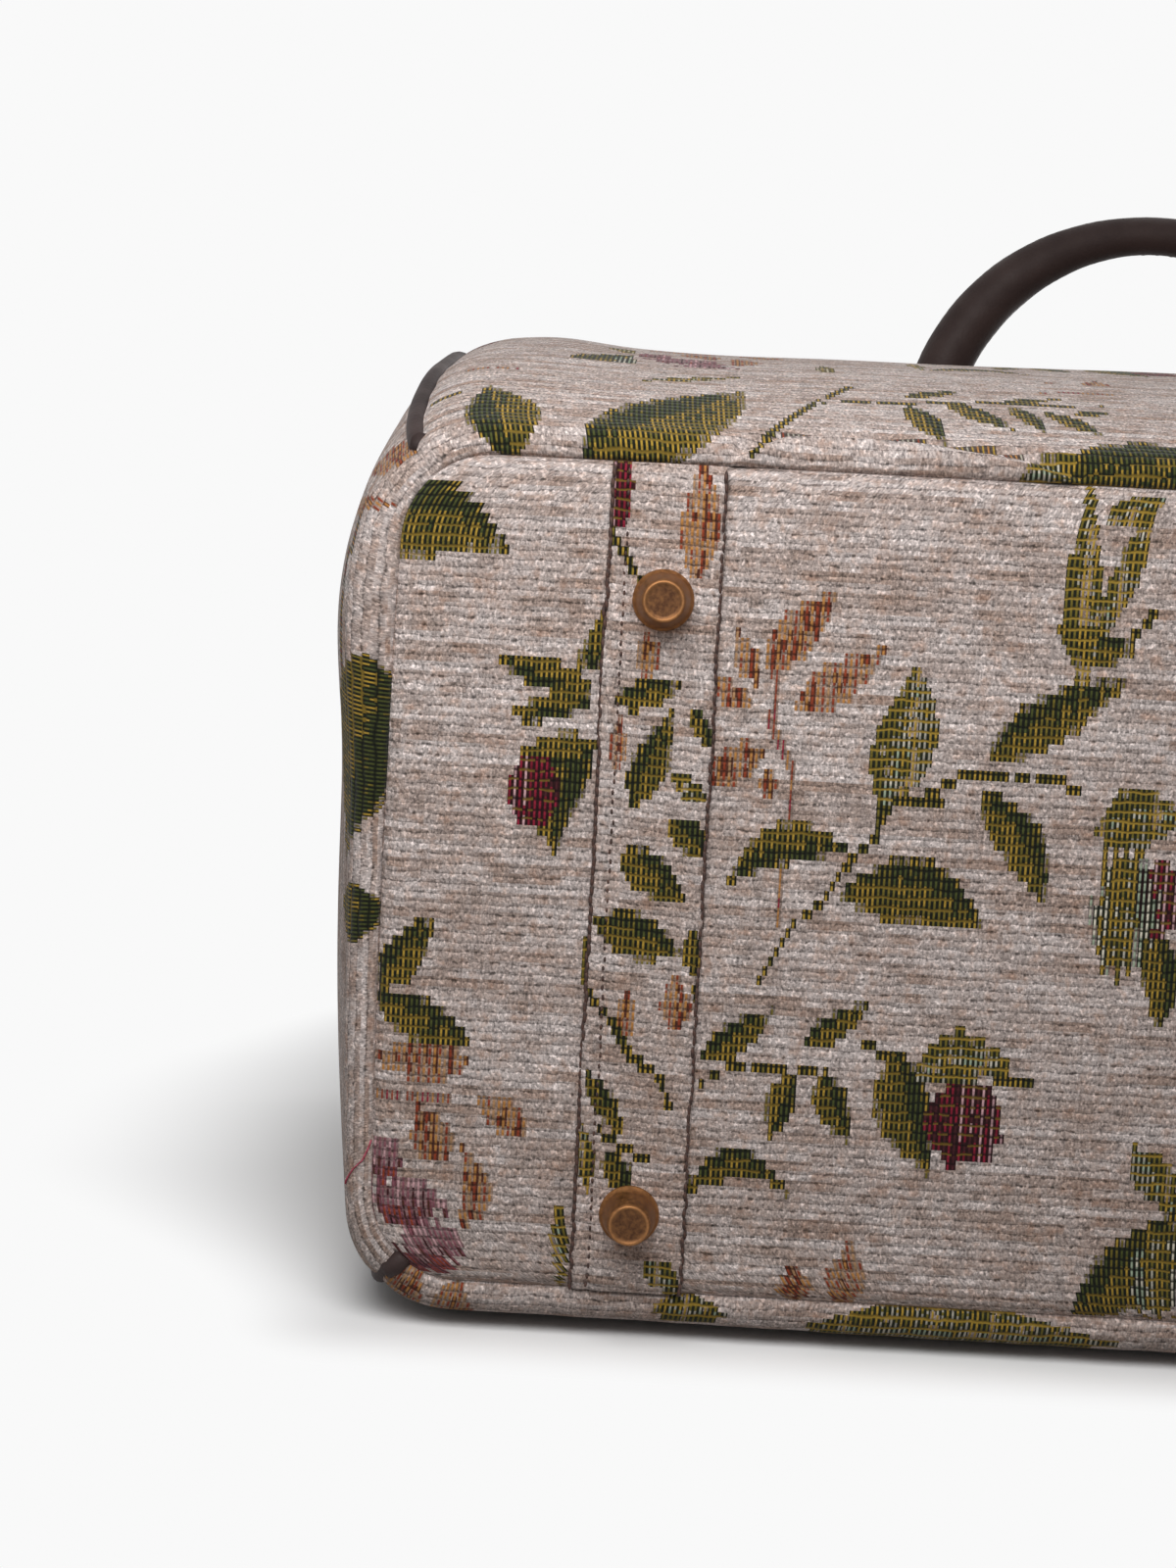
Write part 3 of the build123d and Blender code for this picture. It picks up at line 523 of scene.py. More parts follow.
# %% The repeat
# Stems, twigs and open rows are runs of points. Leaves, olives and rusts are a base point, a tip, a width
# and a sideways bow. Buds, blushes and petals are a middle and two half sizes, and a bud has its lit side.
REPEAT_LEFT, REPEAT_LOW, REPEAT_WIDTH, REPEAT_HEIGHT = -202.0, 10.0, 172.0, 182.0
REPEAT = {
    "stem": [
        [(-118, 82), (-114.5, 88.5), (-111.5, 94), (-105.5, 99.5), (-101.5, 107), (-95.5, 113), (-94, 120)],
        [(-95, 119.5), (-88.5, 122), (-70, 123)],
        [(-84.5, 123.5), (-76.5, 128.5), (-58, 128.5), (-53, 124.5)],
        [(-129, 59), (-124, 62), (-109, 63.5), (-102.5, 63)], [(-94.5, 69), (-88, 66)],
        [(-66, 63), (-57, 61.5)], [(-45, 158), (-40, 164)],
    ],
    "twig": [
        [(-119, 148), (-118.5, 136), (-114, 128), (-113.5, 118)], [(-115, 104), (-115, 94)],
        [(-198, 52), (-183, 52)],
    ],
    "rust": [
        (-122, 144, -128, 157, 5, 0), (-120, 147, -106, 165, 9, 1), (-114, 139, -95, 154, 8.5, 0),
        (-123, 140, -133, 144.5, 5.5, 0), (-120, 131, -133, 123.5, 8, 0), (-178.5, 60, -201, 60, 9, 0),
        (-166, 45, -178, 54, 7, 0), (-183, 37.5, -190, 50.5, 9, 0), (-179.5, 23, -180, 42, 7, -4),
        (-106, 11, -107, 20, 8, 0), (-96, 10, -95, 26, 8, 0), (-119, 127, -118, 120, 4, 0),
        (-136, 166, -136, 192, 8, 0),
    ],
    "leaf": [
        (-206, 168, -175, 168.5, 17, 8), (-149, 161, -161, 145, 9, 1), (-156, 141, -179, 148, 7, 0),
        (-156, 140, -176, 134.5, 6, 0), (-157, 132, -163, 106, 13, -4), (-155, 130, -173, 127, 9, 1),
        (-73, 131, -44, 150, 11, 1), (-74, 123, -59, 100, 10, 3), (-102, 101, -70, 94, 15, 5),
        (-101, 111, -127, 101, 9, -5), (-130, 63, -114, 75.5, 7, 0), (-108, 67, -94, 78.5, 6, 0),
        (-110, 62, -114, 47, 6.5, 0), (-104, 62, -97, 47, 7.5, 0), (-88, 68, -79, 41, 12, -2),
        (-133, 32, -107, 33, 7, 9), (-199, 75, -188, 92, 9, 0), (-200, 73, -178, 64, 9.5, 0),
        (-60, 160, -43, 156, 9, -2), (-37, 98, -33, 75, 9, 2), (-46, 12, -24, 38, 15, -2),
        (-98, 4, -40, 6, 7, 0),
    ],
    "bud": [(-168.3, 119.5, 5.6, 7.6, -1), (-72.5, 53, 8.6, 9.3, 1), (-35, 103.5, 6, 8, 1)],
    "blush": [(-197, 37, 4, 5.5), (-191, 29, 7.5, 6), (-185.5, 19, 6.5, 6.5)],
    "petal": [(-42, 100, 7, 13.5), (-28, 22, 7, 9)],
    "olive": [
        (-95, 120, -89, 152, 13, -2), (-54, 146, -55, 192, 7.5, 1), (-52, 157, -41, 188, 5.5, 0),
        (-84, 62, -62, 65, 12, 4), (-49, 117, -29, 121, 13, 2), (-52, 182, -39, 188, 6, 0),
        (-36, 50, -25, 35, 8, 0), (-158, 31, -157, 10, 4, 0), (-135, 54, -134, 32, 3.5, 0),
        (-155, 78, -154, 94, 3.5, 0),
    ],
}
BAND_FIGURES = {
    "stem": [
        [(-155, 78), (-148.5, 70), (-144.5, 64), (-138.5, 59.5), (-135.5, 53.5)],
        [(-155, 175), (-150, 168), (-146, 163)], [(-150, 47), (-139.5, 41)],
    ],
    "rust": [
        (-145, 145, -146, 154, 6, 0), (-151, 125, -151, 137, 4, 0), (-146, 68, -146, 79, 4.5, 0),
        (-135, 70, -136, 82, 6.5, 0), (-136, 165, -136, 192, 8, 0),
    ],
    "leaf": [
        (-152.5, 139, -138, 143.5, 6, 0), (-147, 117, -140, 138, 8, 0), (-139, 115, -129, 107, 7, 0),
        (-149, 108, -134, 97, 9, 0), (-154, 93, -134, 86, 10, 0), (-134, 91, -128, 80, 7, 0),
        (-154, 60, -145, 46, 5, 0), (-149, 42, -142.5, 34, 6, 0), (-132, 81, -127, 72, 4, 0),
        (-136, 139, -130.5, 130, 4, 0),
    ],
    "olive": [(-139, 20, -131, 11, 6, 0), (-154, 48, -152, 33, 4, 0), (-139, 124, -131, 119, 4, 0)],
    "bud": [(-153.5, 184, 3, 8, -1)],
}
FRONT_STRIP, GUSSET_STRIP, BACK_STRIP = 300.0, 400.0, 500.0  # chart rows kept for the first part of each wall
# A crease in the front panel, as places across and along it
PLEAT = np.array([(-130, 3), (-119, 8.5), (-105, 10), (-87, 8), (-70, 5.5), (-57, 2)])
STRIP_FIGURES = {
    "stem": [
        [(-196, 327), (-187, 325)],
        [(-126, 302), (-120, 314), (-112, 331), (-92, 333), (-75, 336), (-48, 338)],
        [(-112, 331), (-104, 345)],
    ],
    "twig": [[(-192, 344), (-178, 345)], [(-60, 350), (-44, 352)]],
    "open_row": [(0, FRONT_STRIP) + PLEAT[1:-1], [(78, 409), (64, 411), (48, 412), (36, 411.5)]],
    "leaf": [
        (-176, 299, -183, 329, 17, 0), (-161, 298, -127, 338, 25, -3), (-62, 298, -24, 309, 22, 0),
        (-92, 331, -85, 308, 7, 0), (-83, 335, -70, 317, 7, 0), (-69, 334, -63, 316, 5, 0),
        (-62, 331, -51, 316, 6, 0), (-92, 338, -79, 346, 5, 0), (-70, 338, -57, 343, 4, 0),
        (-56, 330, -47, 333, 4, 0), (46, 404, 1, 412, 24, 0), (-3, 406, -17, 407, 15, 0),
    ],
    "olive": [
        (-70, 300, -57, 305, 7, 0), (-150, 343, -127, 352, 4, 0), (-104, 506, -34, 505.5, 14, 0),
        (-137, 503, -120, 504, 7, 0),
    ],
    "rust": [
        (93, 406, 83, 421, 11, 0), (78, 402, 76, 424, 4, 0), (-197, 503, -187, 507, 12, 0),
        (-185, 504, -176, 508, 12, 0),
    ],
}


def repeat_chart(across, along, seed, shift, strip=None):
    """A chart whose places wrap round the repeat, shifted by an offset in millimetres.

    A strip gives its first rows a place of their own, as (chart row, height, mirrored).
    """
    u = REPEAT_LEFT + np.mod(across - shift[0], REPEAT_WIDTH)
    v = REPEAT_LOW + np.mod(along - shift[1], REPEAT_HEIGHT)
    if strip:
        row, height, mirrored = strip
        u = np.where(along < height, -np.abs(across) if mirrored else across, u)
        v = np.where(along < height, row + along, v)
    cloth = Cloth(u, v, seed)
    cloth.figures(REPEAT)
    cloth.figures(STRIP_FIGURES)
    return cloth


print(len(REPEAT["leaf"]) + len(REPEAT["olive"]), "leaves in the repeat")

# %% [markdown]
# ## The four walls
# Each wall is one cut of cloth, joined to its neighbours over a leather piping and to the base in a tight
# seam that makes the cloth roll outwards. It could be one lofted tube, but separate cuts give each panel
# its own weave direction, as sewn. Rows are spaced evenly along the panel's middle, and the cloth is then
# pushed along its normals: in at the seams, with small puckers beside them, and gently up and down where
# it sags between.

# %% Front, back and gusset cloth
SEAM_DIP, SEAM_REACH = 2.6, 1.6  # how far a base or top seam draws the cloth in, and over what distance
SIDE_DIP, SIDE_REACH = 0.8, 2.0  # the same at the piped side seams
ROLL_PROUD, ROLL_AT, ROLL_HALF = 1.8, 6.0, 4.5  # the stuffed roll beside the base seam
PUCKER, PUCKER_REACH, PUCKER_LENGTH = 0.35, 7.0, 13.0  # small waves beside every seam
SWAY, SWAY_REACH, SWAY_LENGTH = 1.3, 25.0, 150.0  # slow waves away from the seams
HUMP, HUMP_AT, HUMP_HALF = 1.5, 26.0, 13.0  # where the front panel stands up beside its side seams
SAG, SAG_AT, SAG_HALF = 1.2, 64.0, 26.0  # and where it sinks further in
VALLEY, VALLEY_HALF = 1.5, 1.6  # the pleat's crease
RIDGE, RIDGE_AT, RIDGE_HALF = 1.2, 3.2, 2.0  # and the swell on its seam side
PLUMP, PLUMP_AT = 5.5, (58.0, 14.0)  # the gussets' fuller corner: how far out, and where across and along
PLUMP_HALF, PLUMP_RIM = 30.0, 12.0  # its half width, and how near the side seam it dies away
PIPING_RADIUS = 2.3
SEAM_STEPS = np.array([0.4, 0.8, 1.3, 3.1])  # extra rows beside a seam, so that its fold is smooth


def row_shares(middle_line, pitch):
    """Shares of the height that space rows evenly along a line, and the distance run at each."""
    fine = np.linspace(0, 1, 6001) ** 2
    points = middle_line(fine)
    run = np.concatenate([[0.0], np.cumsum(np.linalg.norm(np.diff(points, axis=0), axis=1))])
    even = np.linspace(0, run[-1], int(round(run[-1] / pitch)) + 1)
    rows = np.union1d(np.union1d(even, SEAM_STEPS), run[-1] - SEAM_STEPS)
    return np.interp(rows, run, fine), rows


def outward(grid):
    """Unit normals of a grid: the cross product of its column and row directions."""
    normal = np.cross(np.gradient(grid, axis=1), np.gradient(grid, axis=0))
    return normal / np.maximum(np.linalg.norm(normal, axis=-1, keepdims=True), 1e-9)


def ripples(across, along, seed, length):
    """A sum of four sines with random directions, phases and lengths, from -1 to 1."""
    rng = np.random.default_rng(seed)
    wave = np.zeros(np.broadcast(across, along).shape)
    angles, phases, stretches = rng.uniform(0, np.pi, 4), rng.uniform(0, 7, 4), rng.uniform(0.7, 1.6, 4)
    for angle, phase, stretch in zip(angles, phases, stretches):
        ahead = across * np.cos(angle) + along * np.sin(angle)
        wave += np.sin(ahead * 2 * np.pi / (length * stretch) + phase)
    return wave / 4


def sewn_push(across, half, along, length, seed):
    """How far the cloth moves along its normal, from its distance to each seam."""
    to_base, to_top, to_side = along, length - along, half - np.abs(across)
    dip = np.exp(-to_base / SEAM_REACH) + np.exp(-to_top / SEAM_REACH)
    near = np.minimum(np.minimum(to_base, to_top), to_side)
    pucker = PUCKER * np.exp(-near / PUCKER_REACH) * ripples(across, along, seed, PUCKER_LENGTH)
    free = 1 - np.exp(-near / SWAY_REACH)
    sway = SWAY * free * ripples(across, along, seed + 1, SWAY_LENGTH)
    roll = ROLL_PROUD * bell(to_base - ROLL_AT, ROLL_HALF)
    side_dip = SIDE_DIP * np.exp(-to_side / SIDE_REACH)
    return roll - SEAM_DIP * dip - side_dip + pucker + sway


class Wall(NamedTuple):
    """A wall's points, the run and half width of each row, and the side that its columns start from."""

    grid: np.ndarray
    run: np.ndarray
    edge: np.ndarray
    start: int

    def at(self, across, along):
        """Points of the cloth at places on it, weighting the four nearest crossings."""
        row = np.interp(along, self.run, np.arange(len(self.run)))
        half = np.interp(along, self.run, self.edge)
        column = (self.start * across / half + 1) / 2 * (self.grid.shape[1] - 1)
        row, column = np.broadcast_arrays(row, column)
        r = np.minimum(row.astype(int), self.grid.shape[0] - 2)
        c = np.minimum(column.astype(int), self.grid.shape[1] - 2)
        up, right = (row - r)[..., None], (column - c)[..., None]
        low = self.grid[r, c] * (1 - right) + self.grid[r, c + 1] * right
        high = self.grid[r + 1, c] * (1 - right) + self.grid[r + 1, c + 1] * right
        return low * (1 - up) + high * up


def pleat(across, along):
    """A crease out of the base seam and back to it: a valley, with a soft ridge on the seam's side."""
    away = along - np.interp(across, PLEAT[:, 0], PLEAT[:, 1])
    within = (across > PLEAT[0, 0]) & (across < PLEAT[-1, 0])
    return within * (RIDGE * bell(away + RIDGE_AT, RIDGE_HALF) - VALLEY * bell(away, VALLEY_HALF))


def front_push(across, along, edge, shares):
    """The front panel's hump and sag beside its side seams, and its pleat."""
    from_side = edge - np.abs(across)
    ends = HUMP * bell(from_side - HUMP_AT, HUMP_HALF) - SAG * bell(from_side - SAG_AT, SAG_HALF)
    return ends * np.sin(np.pi * shares) ** 2 + pleat(across, along)


def gusset_push(across, along, edge, shares):
    """A bell over the upper corner that rises from the base seam and dies away up the gusset."""
    step = along / PLUMP_AT[1]
    full = bell(across - PLUMP_AT[0], PLUMP_HALF) * step * np.exp(1 - step)
    return PLUMP * full * (1 - bell(edge - np.abs(across), PLUMP_RIM))


def no_push(across, along, edge, shares):
    """The back panel has no form of its own: the bag lies on it."""
    return 0 * across * along


def wall_cloth(name, node_name, point, half, own_push, facing, start, shift, seed, strip):
    """A panel: rows up the body, columns between its side seams, moved along its normals by two pushes."""
    shares, run = row_shares(lambda t: point(t, 0 * t, facing), ROW_PITCH)
    s = Section(shares)
    edge = half(s)[:, None]
    columns = int(round(2 * edge.max() / WARP_PITCH))
    across = start * np.linspace(-1, 1, columns + 1)[None, :] * edge
    along = np.repeat(run[:, None], columns + 1, axis=1)
    grid = point(shares[:, None], across, facing)
    push = sewn_push(across, edge, along, run[-1], seed) + own_push(across, along, edge, shares[:, None])
    grid = grid + outward(grid) * push[..., None]
    grid[..., 2] = np.maximum(grid[..., 2], FLOOR_GAP)
    cloth = repeat_chart(cell_middles(across), cell_middles(along), seed, shift, strip)
    uv = grid_uv(*grid.shape[:2]).astype(float)
    uv[..., 1] = run[uv[..., 1].astype(int)] / ROW_PITCH
    made = put_mesh(name, grid, grid_quads(*grid.shape[:2]), TAPESTRY, "bag", uv, cloth.chart())
    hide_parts(node_name)
    print(name, grid.shape[:2], f"cut {2 * edge.max():.0f} by {run[-1]:.0f} mm")
    return Wall(grid, run, edge[:, 0], start)


def broad_half(s):
    """Half the width of the front or back: level to the corner, then its arc as far as the seam."""
    return s.corner_x + CORNER * (np.pi / 2 - s.seam_angle)


def side_half(s):
    """Half the width of a gusset: half the bowed side, then the corner's arc as far as the seam."""
    return s.side_radius * s.side_angle + CORNER * (s.seam_angle - s.side_angle)


front = wall_cloth("front_cloth", "front_panel", broad_point, broad_half, front_push, facing=1, start=1,
                   shift=(20, 55), seed=11, strip=(FRONT_STRIP, 62, True))
back = wall_cloth("back_cloth", "back_panel", broad_point, broad_half, no_push, facing=-1, start=-1,
                  shift=(75, 20), seed=12, strip=(BACK_STRIP, 20, True))
wall_cloth("right_gusset_cloth", "right_gusset", side_point, side_half, gusset_push, facing=1, start=-1,
           shift=(40, 90), seed=13, strip=(GUSSET_STRIP, 30, False))
left = wall_cloth("left_gusset_cloth", "left_gusset", side_point, side_half, gusset_push, facing=-1, start=1,
                  shift=(60, 30), seed=14, strip=(GUSSET_STRIP, 30, False))

# %% [markdown]
# ## The base
# The base is one flat cut over a stiff board, so it stays flat but for the seam round it. It is the side
# that faces the eye here, so its figures are placed one by one. Its grid is a rounded rectangle whose
# rows shorten in the corners.

# %% Base cloth
BASE_Y = -BODY_HEIGHT / 2
BASE_CORNER = CORNER - WALL
BASE_SWELL, SWELL_REACH = 0.5, 12.0  # how far the middle stands out, and over what distance from the seam


def rounded_half(z):
    """Half width of the base at a height: full, but for a quarter circle at each corner."""
    reach = np.maximum(np.abs(z - BASE_LIFT - BASE_DEPTH / 2) - BASE_DEPTH / 2 + BASE_CORNER, 0)
    return BASE_WIDTH / 2 - BASE_CORNER + np.sqrt(np.maximum(BASE_CORNER**2 - reach**2, 0))


def to_edge(x, z):
    """Distance inside the rounded rectangle."""
    dx = np.abs(x) - BASE_WIDTH / 2 + BASE_CORNER
    dz = np.abs(z - BASE_LIFT - BASE_DEPTH / 2) - BASE_DEPTH / 2 + BASE_CORNER
    outside = np.hypot(np.maximum(dx, 0), np.maximum(dz, 0)) + np.minimum(np.maximum(dx, dz), 0)
    return BASE_CORNER - outside


def with_seam_steps(low, high, pitch):
    """Even steps between two seams, with extra ones beside each."""
    even = np.linspace(low, high, int(round((high - low) / pitch)) + 1)
    return np.union1d(np.union1d(even, low + SEAM_STEPS), high - SEAM_STEPS)


row_z = with_seam_steps(BASE_LIFT, BASE_LIFT + BASE_DEPTH, ROW_PITCH)
column_x = with_seam_steps(-BASE_WIDTH / 2, BASE_WIDTH / 2, WARP_PITCH)
base_x = column_x[None, :] / (BASE_WIDTH / 2) * rounded_half(row_z[:, None])
base_z = np.broadcast_to(row_z[:, None], base_x.shape)
inside = np.maximum(to_edge(base_x, base_z), 0)
base_y = BASE_Y + SEAM_DIP * np.exp(-inside / SEAM_REACH)
base_y = base_y - BASE_SWELL * (1 - np.exp(-inside / SWELL_REACH)) * (1 + ripples(base_x, base_z, 21, 60))
base_grid = np.stack([base_x, base_y, base_z], axis=-1)
base_chart = Cloth(-np.abs(cell_middles(base_x)), cell_middles(base_z), 20)
base_chart.figures(REPEAT)
base_uv = grid_uv(*base_x.shape)
base_uv = np.stack([column_x[base_uv[..., 0]] / WARP_PITCH, row_z[base_uv[..., 1]] / ROW_PITCH], axis=-1)
base_quads = grid_quads(*base_x.shape)
base = put_mesh("base_cloth", base_grid, base_quads, TAPESTRY, "bag", base_uv, base_chart.chart())
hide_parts("base_panel")
print("base_cloth", base_x.shape)

# %% [markdown]
# ## Bands across the base
# Two doubled strips of the same cloth cross the base under the feet. Their long edges are folded under
# and topstitched, so a strip is a little proud with rounded sides. It is a grid whose height follows a
# flat-topped curve. Rows of dark thread along both folded edges are painted shade in the cracks under the
# folds.

# %% Bands and their stitching
BAND_WIDTH, BAND_THICK, BAND_X = 24.0, 1.6, 143.0
BAND_SUNK, BAND_END = 0.2, 0.4  # how far it is pressed into the base, and its ends are inside the seams
BAND_WANDER, WANDER_LENGTH = 0.35, 40.0  # how far its edges stray, and the length of their waves
BAND_RUMPLE, RUMPLE_LENGTH = 0.15, 25.0  # the same for its face
TOPSTITCH = 3.7  # a row of stitches, this far inside the outer edge
GROOVE, GROOVE_HALF = 0.7, 0.9  # how far it draws the cloth down, and over what half width
STITCH_LIFT = 0.15  # a stitch's middle above the cloth
STRAY_ALONG, STRAY_ACROSS, STRAY_LEAN = 0.15, 0.12, 0.06  # spread of stitches sewn by hand, in mm and radians
BAND_LEAN = 0.04  # rows gained for each thread across, as the strip is cut a little off the straight


def band_cloth(name, node_name, side, seed):
    """A strip up the base: flat with rounded sides, a groove under its topstitching and dips at its ends."""
    rows, columns = 92, 30
    share = np.sin(np.linspace(-1, 1, columns + 1) * np.pi / 2)[None, :]
    z = np.linspace(BASE_LIFT + BAND_END, BASE_LIFT + BASE_DEPTH - BAND_END, rows)[:, None]
    x = side * BAND_X + share * BAND_WIDTH / 2 + BAND_WANDER * ripples(z, 0 * z, seed, WANDER_LENGTH)
    z = np.broadcast_to(z, x.shape)
    y = BASE_Y - BASE_SWELL - (BAND_THICK - BAND_SUNK) * flat_top(share)
    y = y - BAND_RUMPLE * ripples(x, z, seed, RUMPLE_LENGTH)
    y = y + SEAM_DIP * np.exp(-np.minimum(z - BASE_LIFT, BASE_LIFT + BASE_DEPTH - z) / SEAM_REACH)
    inset = (1 - side * share) * BAND_WIDTH / 2
    y = y + GROOVE * bell(inset - TOPSTITCH, GROOVE_HALF)
    grid = np.stack([x, y, z], axis=-1)
    chart = Cloth(-np.abs(cell_middles(x)), cell_middles(z), seed)
    chart.figures(BAND_FIGURES)
    uv = grid_uv(rows, columns + 1).astype(float)
    counts = (share[0] + 1) * BAND_WIDTH / 2 / WARP_PITCH
    uv[..., 0] = np.interp(uv[..., 0], np.arange(columns + 1), counts)
    uv[..., 1] += BAND_LEAN * uv[..., 0]
    made = put_mesh(name, grid, grid_quads(rows, columns + 1), TAPESTRY, "bag", uv, chart.chart())
    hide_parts(node_name)


def waxed_thread(name, dark, pale):
    """Waxed linen thread: faintly glossy, twisted about every millimetre."""
    m, shader, place = new_material(name)
    twist = node(m, "TexWave", {"Vector": place, "Scale": 320.0}, bands_direction="DIAGONAL")
    colour = node(m, "Mix", {0: twist.outputs["Fac"], 6: linear(dark), 7: linear(pale)}, data_type="RGBA")
    connect(m, shader, {"Base Color": colour.outputs[2], "Roughness": 0.7})
    return m


# Thread for the topstitching, and for the fold rows, which are painted shade
SEAM_THREAD_AND_FOLD_SHADE = waxed_thread("dark_brown_seam_thread_and_fold_shade", "#2a1812", "#4a2f25")


def stitch_row(name, middles, along, over, length, radius, thread, body, slot_name):
    """A row of stitches: ovals along the seam, each sunk by the square of the way to its ends."""
    turn = np.linspace(0, 2 * np.pi, 6, endpoint=False)
    share = np.linspace(-1, 1, 7)
    side = np.cross(along, over)
    size = radius * np.sqrt(np.maximum(1 - share**2, 0.0))
    sunk = -radius * share**2
    middles, along, over, side = (a[:, None, None, :] for a in (middles, along, over, side))
    share, size, sunk = (a[None, :, None, None] for a in (share, size, sunk))
    ring = np.cos(turn)[None, None, :, None] * side + np.sin(turn)[None, None, :, None] * over
    points = middles + share * along * length / 2 + sunk * over + size * ring
    count, rings, sides = points.shape[:3]
    first = np.arange(count)[:, None, None] * rings * sides
    quads = (grid_quads(rings, sides, wrap=True)[None] + first).reshape(-1, 4)
    made = put_mesh(name, points, quads, thread, body)


def band_stitches(name, side, inset, length, radius, seed):
    """One stitch to a row up a band, at a distance from its outer edge and a little uneven."""
    rng = np.random.default_rng(seed)
    z = np.arange(BASE_LIFT + 2, BASE_LIFT + BASE_DEPTH - 1, ROW_PITCH)
    z = z + rng.normal(0, STRAY_ALONG, z.shape)
    x = side * (BAND_X + BAND_WIDTH / 2 - inset) + rng.normal(0, STRAY_ACROSS, z.shape)
    x = x + BAND_WANDER * ripples(z, 0 * z, seed, WANDER_LENGTH)
    share = np.clip((x - side * BAND_X) / (BAND_WIDTH / 2), -1, 1)
    y = BASE_Y - BASE_SWELL - (BAND_THICK - BAND_SUNK) * flat_top(share) - STITCH_LIFT
    y = y + GROOVE * bell(inset - TOPSTITCH, GROOVE_HALF)
    lean = rng.normal(0, STRAY_LEAN, z.shape)
    along = np.stack([np.sin(lean), 0 * z, np.cos(lean)], axis=-1)
    over = np.broadcast_to(np.array([0.0, -1.0, 0.0]), along.shape)
    middles = np.stack([x, y, z], axis=-1)
    stitch_row(name, middles, along, over, length, radius, SEAM_THREAD_AND_FOLD_SHADE, "bag", "tapestry")


for side_name, side in (("left", -1), ("right", 1)):
    band_stitches(f"{side_name}_band_topstitch", side, TOPSTITCH, length=1.5, radius=0.3, seed=33)
    # The two fold rows are painted shade: dark thread laid in the cracks under the folded edges
    band_stitches(f"{side_name}_band_outer_fold_painted_shade", side, 0.15, length=3.4, radius=0.45, seed=34)
    band_stitches(f"{side_name}_band_inner_fold_painted_shade", side, BAND_WIDTH - 0.25, length=3.2, radius=0.42, seed=35)
band_cloth("left_band_cloth", "left_base_band", side=-1, seed=31)
band_cloth("right_band_cloth", "right_base_band", side=1, seed=32)
print("two bands")

# %% [markdown]
# ## Leather
# Piping, tabs and handles are dark brown pigmented leather: a fine pebbled grain 0.8 millimetres across,
# a soft gloss, and a little paler where it is rubbed. Cells of a Voronoi texture make the pebbles, and a
# slow noise makes the rubbing.

# %% Dark brown leather
GRAIN_SIZE = 0.0008  # m


def dark_leather(name, dark, pale, roughness):
    """Pigmented cowhide: pebbled grain, satin gloss, paler rubbed patches."""
    m, shader, place = new_material(name)
    cells = node(m, "TexVoronoi", {"Vector": place, "Scale": 1 / GRAIN_SIZE})
    rub = node(m, "TexNoise", {"Vector": place, "Scale": 90.0, "Detail": 4.0})
    worn = node(m, "MapRange", {0: rub, 1: 0.35, 2: 0.75, 3: 0.0, 4: 1.0})
    colour = node(m, "Mix", {0: worn, 6: linear(dark), 7: linear(pale)}, data_type="RGBA")
    gloss = node(m, "MapRange", {0: rub, 1: 0.3, 2: 0.7, 3: roughness + 0.08, 4: roughness - 0.06})
    bump = node(m, "Bump", {"Strength": 0.2, "Distance": 0.0003, "Height": cells.outputs["Distance"]})
    connect(m, shader, {"Base Color": colour.outputs[2], "Roughness": gloss, "Normal": bump,
                        "Specular IOR Level": 0.18})
    return m


PIPING_LEATHER = dark_leather("piping_leather", "#271d1c", "#3d302e", 0.6)
HANDLE_LEATHER = dark_leather("handle_leather", "#2f2321", "#3b2e2b", 0.58)


def tube(path, normal, binormal, wide, thick, sides):
    """An oval carried along a path: half width along the normal, half thickness along the binormal."""
    angle = np.linspace(0, 2 * np.pi, sides, endpoint=False)
    across = np.cos(angle)[None, :, None] * normal[:, None, :] * np.reshape(wide, (-1, 1, 1))
    through_it = np.sin(angle)[None, :, None] * binormal[:, None, :] * np.reshape(thick, (-1, 1, 1))
    return path[:, None, :] + across + through_it


def capped(grid):
    """The grid with each end drawn to a point, so a tube is closed."""
    ends = [np.broadcast_to(ring.mean(axis=1, keepdims=True), ring.shape) for ring in (grid[:1], grid[-1:])]
    return np.concatenate([ends[0], grid, ends[1]])


def put_tube(name, grid, material, body, slot_name, *nodes):
    """A closed tube that stands for the named nodes, if there are any."""
    closed = capped(grid)
    quads = grid_quads(*closed.shape[:2], wrap=True)
    made = put_mesh(name, closed, quads, material, body)
    if nodes:
        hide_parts(*nodes)


print("leathers", PIPING_LEATHER.name, HANDLE_LEATHER.name)

# %% [markdown]
# ## Piping
# A narrow strip of leather folded round a cord is caught in each side seam, so a round edge stands proud
# of the cloth. Its path is the edge of the cloth itself, eased over a few rows because leather is
# stiffer, and its profile a circle.

# %% Four pipings
PIPING_SIDES = 16
PIPING_LIFT = 0.6  # the cord's middle above the dip where the cloths meet
EASE_ROWS = 7  # the piping is stiffer than the cloth, so it follows a mean of this many rows


def eased(path):
    """Each point replaced by the mean of its neighbours, with the ends carried on straight."""
    half = EASE_ROWS // 2
    before = 2 * path[:1] - path[half:0:-1]
    after = 2 * path[-1:] - path[-2 : -half - 2 : -1]
    total = np.cumsum(np.concatenate([0 * path[:1], before, path, after]), axis=0)
    return (total[EASE_ROWS:] - total[:-EASE_ROWS]) / EASE_ROWS


